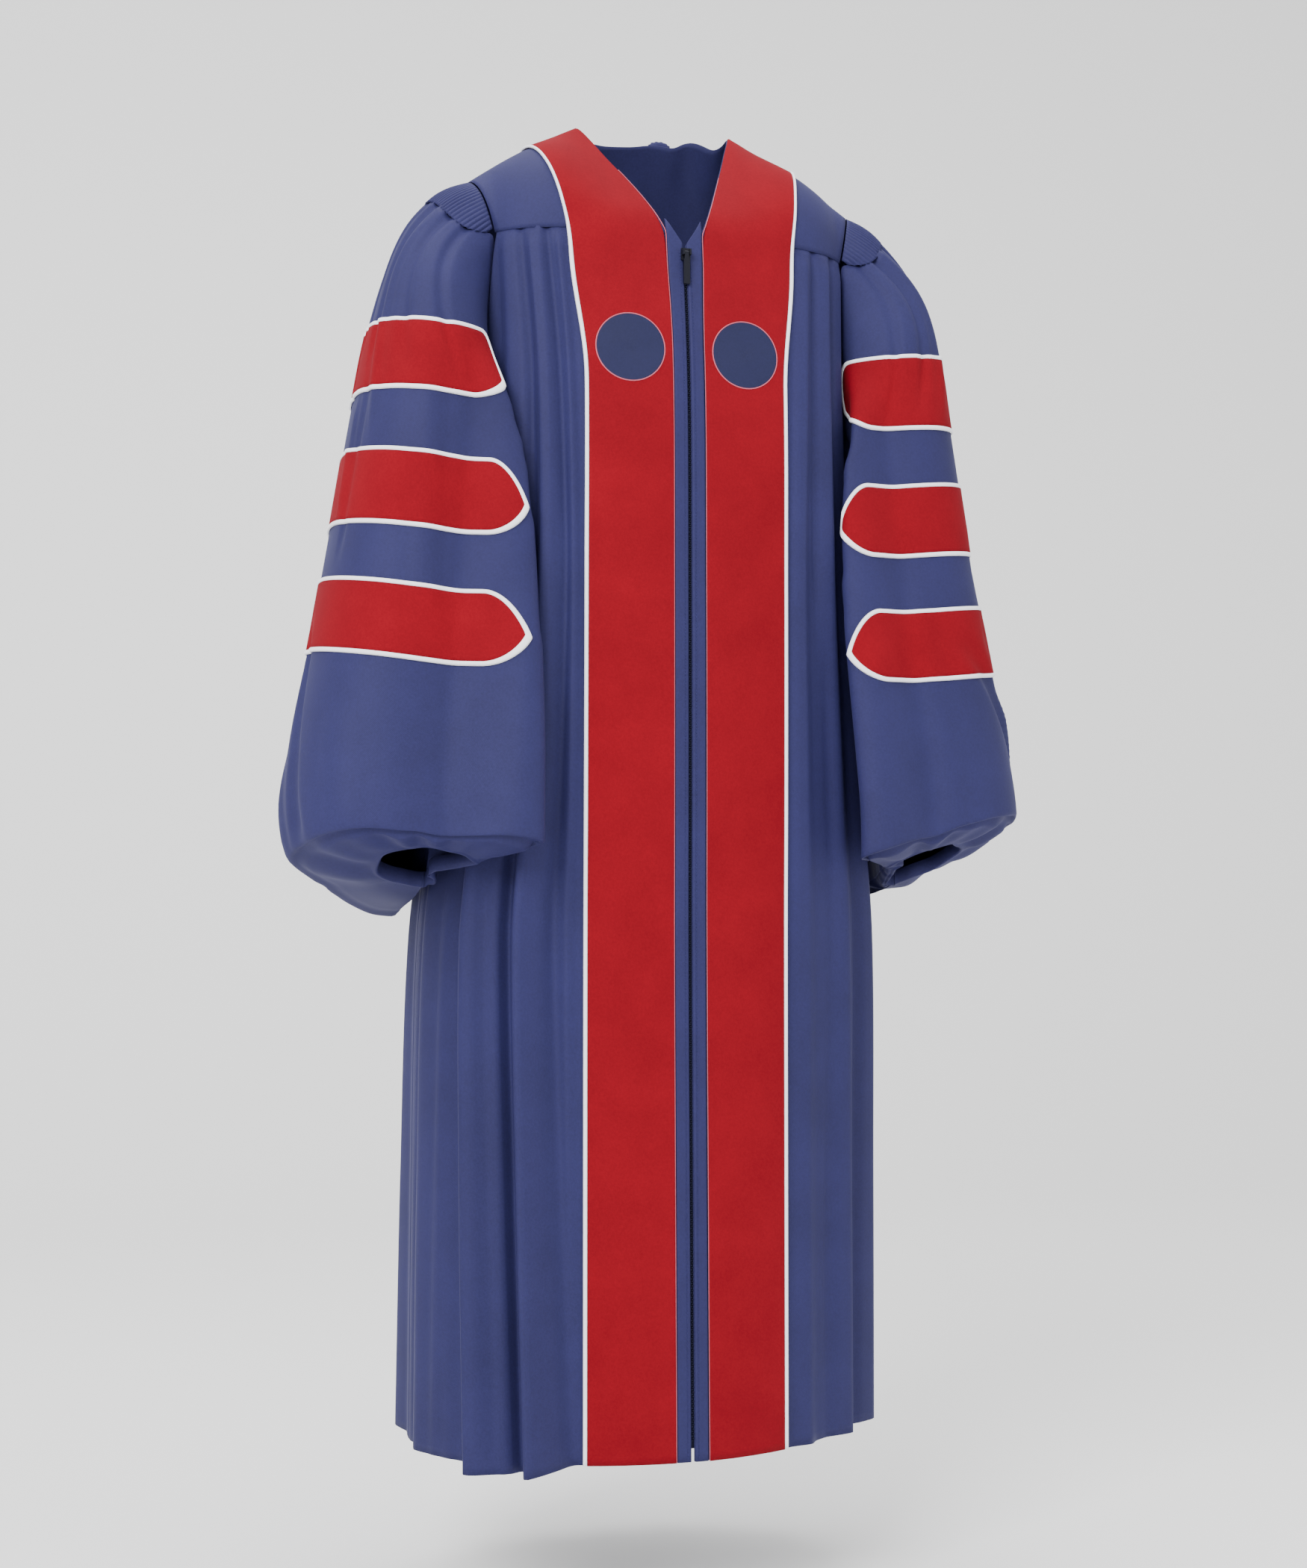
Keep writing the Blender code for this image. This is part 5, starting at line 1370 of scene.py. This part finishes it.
    def armhole(self, share: np.ndarray) -> np.ndarray:
        """Return the armhole seam: the yoke's edge above, the body's edge below."""
        sign = self.side.value
        share = share % 1.0
        turn = np.where(share <= 0.5, share, share - 1.0)
        arch = np.clip(0.5 - 2.0 * turn, 0.0, 1.0) * 10.0
        neck_x, neck_share, outer_x, outer_share, covered = YOKE.rows(sign * (13.0 - arch))
        upper = YOKE.arch(outer_x, outer_share) + np.array([sign * (SEAM + 0.0002), 0.0, -0.0004])
        angle = np.where(share < 0.5, blend(62.5, 90.0, (share - 0.25) * 4.0), blend(90.0, 119.5, (share - 0.5) * 4.0))
        angle = sign * np.clip(angle, 62.5, 119.5)
        lower = FORM.point(angle, FORM.armhole_top(angle), FORM.fold_rise(angle, FORM.armhole_top(angle)))
        away = lower - np.array([sign * 0.10, -0.005, 0.0])
        away[..., 2] = 0.0
        away /= np.linalg.norm(away, axis=-1, keepdims=True)
        lower = lower + away * (SEAM + 0.0006)
        return np.where((np.abs(turn) <= 0.25)[..., None], upper, lower)

    def flute_run(self, share: np.ndarray) -> np.ndarray:
        """Return the run where the fluted head ends and the plain sleeve begins."""
        turn = np.where(share <= 0.5, share, share - 1.0)
        reach = np.minimum(1.0, np.abs(turn) / 0.25)
        return FLUTE_LENGTH * (1.0 - reach ** 6)

    def surface(self, share: np.ndarray, run: np.ndarray) -> np.ndarray:
        """Return the outside of the sleeve.

        Args:
            share: Share round the sleeve, one for each column.
            run: Run from the armhole seam, 0, to the bottom edge, 1, for each column and row.

        Returns:
            An array of points.
        """
        sign = self.side.value
        bottom = BOTTOMS[self.side]
        top = self.armhole(share)
        low = self.ring(share, np.full(share.shape, -0.77))
        low = self.ring(share, bottom.level(low[:, 0], low[:, 1]))
        low_z = bottom.level(low[:, 0], low[:, 1])
        plain = self.ring(share[:, None], blend(top[:, 2:3], low_z[:, None], np.maximum(run, HEAD_RUN)))
        end = self.ring(share, blend(top[:, 2], low_z, HEAD_RUN))
        ahead = self.ring(share, blend(top[:, 2], low_z, HEAD_RUN + 0.03))
        part = np.clip(run / HEAD_RUN, 0.0, 1.0)[..., None]
        reach = end - top
        span = np.linalg.norm(reach, axis=1, keepdims=True)
        turn = np.where(share <= 0.5, share, share - 1.0)
        lean = np.minimum(1.0, np.abs(turn) / 0.25)
        forward = np.where(turn > 0.0, -1.0, 1.0)
        leave = np.stack((sign * blend(0.93, 0.72, lean), forward * 0.24 * lean, -blend(0.36, 0.65, lean)), axis=-1)
        leave /= np.linalg.norm(leave, axis=1, keepdims=True)
        leave = blend(leave, reach / span, soft((np.abs(turn) - 0.24) / 0.06)[:, None])
        arrive = ahead - end
        arrive /= np.linalg.norm(arrive, axis=1, keepdims=True)
        first = (top + leave * span * 0.42)[:, None, :]
        second = (end - arrive * span * 0.42)[:, None, :]
        rest = 1.0 - part
        head = top[:, None] * rest ** 3 + first * 3 * rest ** 2 * part
        head = head + second * 3 * rest * part ** 2 + end[:, None] * part ** 3
        head = self.pushed(share, run, head)
        return np.where((run >= HEAD_RUN)[..., None], plain, head)

    def pushed(self, share: np.ndarray, run: np.ndarray, points: np.ndarray) -> np.ndarray:
        """Return the head's points, those beside the body moved clear of it."""
        sign = self.side.value
        turn = np.where(share <= 0.5, share, share - 1.0)
        flat = points.reshape(-1, 3)
        runs = np.broadcast_to(run, points.shape[:2]).ravel()
        turns = np.broadcast_to(turn[:, None], points.shape[:2]).ravel()
        outer, inner, front, back, lap = SLEEVES[self.side].at(flat[:, 2])
        centre = np.stack((sign * (outer * 0.56 + inner * 0.44), front * 0.54 + back * 0.46), axis=-1)
        way = flat[:, :2] - centre
        reach = np.linalg.norm(way, axis=1)
        way = way / np.maximum(reach, 1e-6)[:, None]
        gap = blend(SEAM + 0.0008, SLEEVE_CLEAR, soft(runs / 0.10))
        used = (np.abs(turns) > 0.25) & (runs > 0.001) & (flat[:, 2] < YOKE_Z - 0.01) & (runs < HEAD_RUN)
        moved = flat.copy()
        if used.any():
            found = self.clear(centre[used], way[used], reach[used], flat[used, 2], gap[used])
            moved[used, :2] = centre[used] + way[used] * found[:, None]
        return moved.reshape(points.shape)


OUTLINES: dict[int, tuple[np.ndarray, np.ndarray]] = {}


@dataclass
class Sleeve:
    """One bell sleeve with its turned-in bottom, fluted head and velvet bars.

    Attributes:
        side: The wearer's side.
        columns: Columns round the sleeve.
        rows: Rows down to the bottom edge.
        turned_rows: Rows of the turned-in bottom.
        tuck: How far the bottom is tucked up behind its edge.
        sag: How far the wrist opening hangs below the edge's own plane.
        grid: The finished sleeve surface, filled by build.
    """

    side: Side
    columns: int = 208
    rows: int = 104
    turned_rows: int = 30
    tuck: float = 0.008
    sag: float = 0.009
    grid: ClothGrid | None = field(default=None)

    def cloth(self) -> ClothGrid:
        """Return the sleeve's outside with its creases and its turned-in bottom."""
        form = SleeveForm(self.side)
        share = np.arange(self.columns) / self.columns
        start = form.flute_run(share)
        start = np.where(start > 0.0, start + 0.0004, 0.0)
        level = np.linspace(0.0, 1.0, self.rows)
        run = blend(start[:, None], 1.0, level[None, :])
        points = form.surface(share, run)
        sleeve = ClothGrid(points, True, (self.side.value * 0.27, -0.03)).smoothed(3)
        across = np.broadcast_to(share[:, None], run.shape)
        rise = np.zeros(run.shape)
        for crease in SLEEVE_CREASES[self.side]:
            for turn in (-1.0, 0.0, 1.0):
                rise += crease.rise(across + turn, run)
        front = bump((np.where(across > 0.5, across - 1.0, across)) / 0.26)
        flutes = 0.0007 * np.cos(across * 2.0 * math.pi * FLUTES * 1.05) * front
        rise += flutes * np.exp(-(run - start[:, None]) / 0.035)
        rise *= np.clip((1.0 - run) / 0.03, 0.0, 1.0) * 0.4 + 0.6
        sleeve = sleeve.lifted(rise)
        turned = self.turned_in(sleeve.points[:, -1])
        whole = np.concatenate((sleeve.points, turned), axis=1)
        return self.rolled(ClothGrid(whole, True, (self.side.value * 0.27, -0.03)))

    def turned_in(self, edge: np.ndarray) -> np.ndarray:
        """Return the turned-in bottom, from the sleeve's edge to the oval wrist opening.

        Args:
            edge: The points of the sleeve's bottom edge.

        Returns:
            Points for each column and each turned-in row.
        """
        bottom = BOTTOMS[self.side]
        centre = np.array([self.side.value * bottom.centre[0], bottom.centre[1]])
        way = edge[:, :2] - centre
        reach = np.linalg.norm(way, axis=1)
        way /= reach[:, None]
        oval = 1.0 / np.sqrt((way[:, 0] / bottom.half[0]) ** 2 + (way[:, 1] / bottom.half[1]) ** 2)
        oval = np.minimum(oval, reach - 0.010)
        level = np.linspace(0.0, 1.0, self.turned_rows + 1)[1:]
        turn = np.arctan2(way[:, 1], way[:, 0])
        uneven = 1.0 + 0.05 * np.sin(turn * 3.0 + 0.6) + 0.035 * np.sin(turn * 7.0 + 2.0)
        away = blend(reach[:, None], (oval * uneven)[:, None], level[None, :])
        place = centre[None, None, :] + way[:, None, :] * away[..., None]
        folds = np.sin(turn * 9.0 + 0.9 * np.sin(turn * 3.0)) + 0.6 * np.sin(turn * 13.0 + 1.1)
        depth = np.minimum(reach, 0.09) * 0.032
        ripple = (folds * depth)[:, None] * (np.sin(level * math.pi) ** 0.8)[None, :]
        ahead = np.clip(0.5 - way[:, 1] * 0.7, 0.0, 1.0)[:, None]
        tuck = self.tuck * blend(0.25, 1.0, ahead) * bump((level - 0.13) / 0.13)[None, :]
        room = np.minimum(1.0, reach / 0.07)[:, None]
        sag = self.sag * soft(level / 0.80)[None, :] * blend(1.6, 0.4, ahead) * room
        z = bottom.level(place[..., 0], place[..., 1]) - 0.0008 - sag + ripple + tuck
        turned = np.concatenate((place, z[..., None]), axis=2)
        return np.concatenate((turned, self.wrist_hem(turned[:, -1], way)), axis=1)

    def wrist_hem(self, rim: np.ndarray, way: np.ndarray) -> np.ndarray:
        """Return the rolled hem of the wrist opening: out in a small bead, then up inside.

        Args:
            rim: The points of the opening's rim.
            way: Each point's direction out from the middle.

        Returns:
            Points for each column and each row of the hem.
        """
        rows = []
        for inward, down in ((0.0014, 0.0012), (0.0032, 0.0012), (0.0044, 0.0), (0.0046, -0.004), (0.0040, -0.014)):
            row = rim.copy()
            row[:, :2] -= way * inward
            row[:, 2] -= down
            rows.append(row)
        return np.stack(rows, axis=1)

    def rolled(self, grid: ClothGrid) -> ClothGrid:
        """Return the grid with the sharp bottom edge rounded, as cloth rolls under."""
        points = grid.points.copy()
        low = self.rows - 2
        high = self.rows + 1
        for step in range(2):
            middle = (points[:, low:high - 1] + points[:, low + 2:high + 1]) / 2.0
            points[:, low + 1:high] = blend(points[:, low + 1:high], middle, 0.6)
        return ClothGrid(points, True, grid.axis)

    def on_sleeve(self, share: np.ndarray, height: np.ndarray, lift: np.ndarray) -> np.ndarray:
        """Return points on the sleeve at shares and heights, moved out by a lift.

        Args:
            share: Shares round the sleeve, minus past the outer line.
            height: Heights.
            lift: Distances out of the cloth.

        Returns:
            An array of points.
        """
        plain = ClothGrid(self.grid.points[:, :self.rows - 8], True, self.grid.axis)
        column = (share % 1.0) * self.columns
        left = np.floor(column).astype(int) % self.columns
        right = (left + 1) % self.columns
        part = column - np.floor(column)
        rows = np.zeros(share.shape)
        for index in np.ndindex(share.shape):
            here = plain.points[left[index], :, 2]
            there = plain.points[right[index], :, 2]
            line = blend(here, there, part[index])
            rows[index] = np.interp(-height[index], -line, np.arange(len(line)))
        points, away = plain.sample(column, rows)
        away /= np.linalg.norm(away, axis=-1, keepdims=True)
        return points + away * lift[..., None]

    def bar_ends(self, number: int) -> tuple[float, float]:
        """Return the shares of a bar's front tip and front corner."""
        bar = BARS[number - 1]
        longer = LONGER_BARS[self.side][number - 1]
        return bar.tip + longer, bar.corner + longer * 0.85

    def bar_shape(self, bar: Bar, number: int) -> tuple[Any, Any]:
        """Return the functions of a bar's middle and half height over the share."""
        tip, corner = self.bar_ends(number)
        tip_drop = TIP_DROPS[self.side][number - 1]
        tall = bar.half + (0.003 if self.side is Side.LEFT and number == 1 else 0.0)

        def middle(share: np.ndarray) -> np.ndarray:
            ahead = bar.height - bar.drop * soft(share / tip)
            ahead = ahead - tip_drop * np.clip((share - corner) / (tip - corner), 0.0, 1.0) ** 2
            behind = bar.height - bar.drop * 0.6 * soft(share / bar.tip_back)
            return np.where(share > 0.0, ahead, behind)

        def half(share: np.ndarray, inset: float) -> np.ndarray:
            reach = inset * 1.35
            front = (share - corner) / (tip - reach - corner)
            back = (share - bar.corner_back) / (bar.tip_back + reach - bar.corner_back)
            part = np.clip(np.maximum(front, back), 0.0, 1.0)
            return (tall - inset) * (1.0 - part ** 1.9) ** 0.86

        return middle, half

    def bars(self) -> list[bpy.types.Object]:
        """Make the three velvet bars and the piping round each."""
        made = []
        for number, bar in enumerate(BARS, 1):
            middle, half = self.bar_shape(bar, number)
            tip, corner = self.bar_ends(number)
            inset = BAR_EDGE - 0.0012
            reach = inset * 1.35
            turn = np.linspace(math.pi, 0.0, 150)
            share = blend(bar.tip_back + reach, tip - reach, (1.0 + np.cos(turn)) / 2.0)
            across = np.linspace(-1.0, 1.0, 15)
            tall = half(share, inset)
            height = middle(share)[:, None] + across[None, :] * tall[:, None]
            share_grid = np.broadcast_to(share[:, None], height.shape)
            lift = np.full(height.shape, 0.0019)
            velvet = ClothGrid(self.on_sleeve(share_grid, height, lift), axis=(self.side.value * 0.27, -0.03))
            name = "%d_%s" % (number, self.side.label)
            piece = velvet.make("velvet_bar_" + name, VELVET, 0.0007)
            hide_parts("bar_" + name)
            made.append(piece)
            made.append(self.bar_piping(bar, number, tip, middle, half))
        return made

    def bar_piping(self, bar: Bar, number: int, tip: float, middle: Any, half: Any) -> bpy.types.Object:
        """Make the corded piping round a bar."""
        upper = blend(bar.tip_back, tip, (1.0 - np.cos(np.linspace(0.0, math.pi, 170))) / 2.0)
        shares = np.concatenate((upper, upper[::-1][1:-1]))
        signs = np.concatenate((np.ones(170), -np.ones(168)))
        across = np.linspace(0.0, 1.0, 9)
        points = []
        for part in across:
            inset = BAR_EDGE * part
            reach = inset * 1.35
            inner = blend(bar.tip_back + reach, tip - reach, (shares - bar.tip_back) / (tip - bar.tip_back))
            height = middle(inner) + signs * half(inner, inset)
            lift = np.full(height.shape, 0.0006 + 0.0024 * math.sqrt(max(0.0, 1.0 - (2.0 * part - 1.0) ** 2)))
            points.append(self.on_sleeve(inner, height, lift))
        grid = ClothGrid(np.stack(points, axis=1), True, (self.side.value * 0.27, -0.03))
        made = grid.make("bar_cord_%d_%s" % (number, self.side.label), PIPING, 0.0005)
        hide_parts("bar_piping_%d_%s" % (number, self.side.label))
        return made

    def fluting(self) -> bpy.types.Object:
        """Make the fluted head: rounded flutes side by side, flatter at their lower ends."""
        form = SleeveForm(self.side)
        count = FLUTES * 8 + 1
        turn = np.linspace(-0.240, 0.240, count)
        share = turn % 1.0
        level = np.linspace(0.0, 1.0, 16)
        length = form.flute_run(share) + 0.003 * soft((0.25 - np.abs(turn)) / 0.05)
        run = blend(0.0012, length[:, None], level[None, :])
        points = form.surface(share, run)
        grid = ClothGrid(points, axis=(self.side.value * 0.17, -0.02)).smoothed(1)
        phase = np.linspace(0.0, FLUTES * 2.0 * math.pi, count)
        uneven = 1.0 + 0.18 * np.sin(turn * 61.0) + 0.12 * np.sin(turn * 23.0 + 1.0)
        ridge = np.abs(np.sin(phase / 2.0)) ** 0.8 * uneven
        held = 0.35 + 0.65 * np.sin(np.clip(level * 1.25, 0.0, 1.0) * math.pi / 2.0)
        rise = 0.0016 * ridge[:, None] * held[None, :] - 0.0006 + 0.0012 * np.sin(level * math.pi)[None, :]
        made = grid.lifted(rise).make("fluting_cloth_" + self.side.label, NAVY, 0.0006)
        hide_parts("fluting_" + self.side.label)
        return made

    def build(self) -> list[bpy.types.Object]:
        """Make the sleeve with all that is sewn on it."""
        self.grid = self.cloth()
        label = self.side.label
        sleeve = self.grid.make("sleeve_cloth_" + label, NAVY)
        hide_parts("sleeve_" + label, "sleeve_bottom_" + label)
        made = [sleeve]
        made.append(self.fluting())
        return made + self.bars()


class Zip:
    """The zip: tape, moulded teeth, slider and pull tab."""

    tooth: tuple[float, float, float] = (0.0019, 0.0016, 0.0011)
    pitch: float = 0.0022

    def tape(self) -> bpy.types.Object:
        """Make the woven tape behind the two front edges."""
        xs = np.linspace(-0.0120, 0.0120, 17)
        heights = np.linspace(V_Z - 0.004, HEM_Z + 0.012, 160)
        grid = ClothGrid(FORM.front_line(xs[:, None], np.broadcast_to(heights[None, :], (17, 160))))
        made = grid.lifted(-CLOTH - 0.0009).make("zip_tape_cloth", ZIP_TAPE, 0.0006)
        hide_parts("zip_tape")
        return made

    def teeth(self) -> bpy.types.Object:
        """Make the teeth, which mesh on the centre line."""
        shape = bmesh.new()
        count = int((V_Z - 0.014 - HEM_Z - 0.016) / self.pitch)
        for index in range(count):
            height = V_Z - 0.014 - index * self.pitch
            place = FORM.front_line(np.array([0.0002]), np.array([height]))[0]
            sign = 1 if index % 2 else -1
            centre = Vector((sign * 0.0005, place[1] + 0.0004, height))
            size = Matrix.Diagonal((*self.tooth, 1.0))
            bmesh.ops.create_cube(shape, size=1.0, matrix=Matrix.Translation(centre) @ size)
        return finish_object("zip_teeth", shape, ZIP_TAPE, smooth=False)

    def metal(self) -> list[bpy.types.Object]:
        """Dress the slider and the pull tab, their edges eased."""
        pieces = []
        for name in ("zip_slider", "pull_tab"):
            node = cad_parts[name]
            node.data.materials.clear()
            node.data.materials.append(ZINC.build())
            ease = node.modifiers.new("eased edges", "BEVEL")
            ease.width = 0.0003
            ease.segments = 2
            ease.limit_method = "ANGLE"
            pieces.append(node)
        return pieces

    def build(self) -> list[bpy.types.Object]:
        """Make the whole zip."""
        return [self.tape(), self.teeth()] + self.metal()


class HoodButton:
    """The covered button at the back of the neck, its cloth gathered to the middle."""

    def build(self) -> bpy.types.Object:
        """Make the button in the place of its node."""
        low, high = (Vector(corner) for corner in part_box("hood_button"))
        centre = (low + high) / 2.0
        half = (high - low) / 2.0
        shape = bmesh.new()
        bmesh.ops.create_uvsphere(shape, u_segments=48, v_segments=24, radius=1.0)
        for vertex in shape.verts:
            x, y, z = vertex.co
            turn = math.atan2(z, x)
            ring = math.hypot(x, z)
            crease = 1.0 - 0.10 * ring * (0.5 + 0.5 * math.sin(turn * 13.0 + 2.0 * y))
            vertex.co = (
                centre.x + x * half.x * crease,
                centre.y + y * half.y * (1.0 - 0.15 * (1.0 - ring)),
                centre.z + z * half.z * crease,
            )
        made = finish_object("hood_button_cover", shape, NAVY)
        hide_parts("hood_button")
        return made


@dataclass(frozen=True)
class Lamp:
    """One soft studio light.

    Attributes:
        name: Its name.
        place: Its position.
        aim: The point that it faces.
        size: Edge of its square.
        power: Power in watts.
    """

    name: str
    place: tuple[float, float, float]
    aim: tuple[float, float, float]
    size: float
    power: float

    def build(self) -> bpy.types.Object:
        """Add the light to the scene."""
        data = bpy.data.lights.new(self.name, "AREA")
        data.size = self.size
        data.energy = self.power
        made = bpy.data.objects.new(self.name, data)
        made.location = self.place
        way = Vector(self.aim) - Vector(self.place)
        made.rotation_euler = way.to_track_quat("-Z", "Y").to_euler()
        bpy.context.scene.collection.objects.link(made)
        return made


class Studio:
    """A plain white room: floor with a curved back, soft lights and the camera."""

    floor_z: float = -1.520
    turn: float = 16.0
    distance: float = 2.29
    camera_z: float = -0.85
    pitch: float = 3.9
    yaw: float = 0.1
    lamps: tuple[Lamp, ...] = (
        Lamp("key_light", (-2.4, -2.9, 1.7), (0.0, 0.0, -0.3), 2.2, 250.0),
        Lamp("fill_light", (3.2, -2.6, 0.6), (0.0, 0.0, -0.4), 3.0, 45.0),
        Lamp("top_light", (0.0, 0.2, 2.6), (0.0, 0.0, -0.5), 2.4, 80.0),
    )

    def floor(self) -> bpy.types.Object:
        """Make the pale floor that curves up behind."""
        shape = bmesh.new()
        bmesh.ops.create_grid(shape, x_segments=2, y_segments=48, size=0.5)
        for vertex in shape.verts:
            share = vertex.co.y + 0.5
            run = share * 12.0 - 5.0
            rise = max(0.0, run - 3.0)
            y = run if run < 3.0 else 3.0 + 1.2 * math.sin(min(1.0, rise / 1.9) * math.pi / 2.0)
            z = 0.0 if run < 3.0 else 1.2 * (1.0 - math.cos(min(1.0, rise / 1.9) * math.pi / 2.0))
            if rise > 1.9:
                z += (rise - 1.9) * 3.0
            vertex.co = (vertex.co.x * 16.0, y, self.floor_z + z)
        mesh = bpy.data.meshes.new("studio_floor")
        shape.to_mesh(mesh)
        shape.free()
        mesh.shade_smooth()
        paint = bpy.data.materials.new("paper_matt_white")
        paint.use_nodes = True
        shader = paint.node_tree.nodes["Principled BSDF"]
        shader.inputs["Base Color"].default_value = linear("FAFAFA")
        shader.inputs["Roughness"].default_value = 0.9
        mesh.materials.append(paint)
        made = bpy.data.objects.new("studio_floor", mesh)
        bpy.context.scene.collection.objects.link(made)
        return made

    def world(self) -> None:
        """Set an even pale surround."""
        world = bpy.data.worlds.new("studio_surround")
        world.use_nodes = True
        background = world.node_tree.nodes["Background"]
        background.inputs["Color"].default_value = (1.0, 1.0, 1.0, 1.0)
        background.inputs["Strength"].default_value = 1.05
        bpy.context.scene.world = world

    def camera(self) -> bpy.types.Object:
        """Set the camera at the photograph's angle."""
        data = bpy.data.cameras.new("studio_camera")
        data.lens = 50.0
        data.sensor_fit = "VERTICAL"
        data.sensor_height = 36.0
        data.clip_end = 60.0
        made = bpy.data.objects.new("studio_camera", data)
        angle = math.radians(self.turn)
        made.location = (-math.sin(angle) * self.distance, -math.cos(angle) * self.distance, self.camera_z)
        heading = math.radians(self.turn + self.yaw)
        tilt = math.radians(self.pitch)
        way = Vector((math.sin(heading) * math.cos(tilt), math.cos(heading) * math.cos(tilt), math.sin(tilt)))
        made.rotation_euler = way.to_track_quat("-Z", "Y").to_euler()
        bpy.context.scene.collection.objects.link(made)
        bpy.context.scene.camera = made
        return made

    def build(self) -> None:
        """Make the floor, the surround, the lights and the camera."""
        self.floor()
        self.world()
        for lamp in self.lamps:
            lamp.build()
        self.camera()


def main() -> None:
    """Build the gown piece by piece, then the studio."""
    logging.basicConfig(level=logging.INFO, format="%(message)s")
    Studio().build()
    pieces = [YokeCloth().build()]
    pieces += BodyCloth().build()
    for side in Side:
        pieces += Trim(side).build()
        pieces += Sleeve(side).build()
    pieces += Zip().build()
    pieces.append(HoodButton().build())
    for piece in pieces:
        report(piece)


if __name__ == "__main__":
    main()
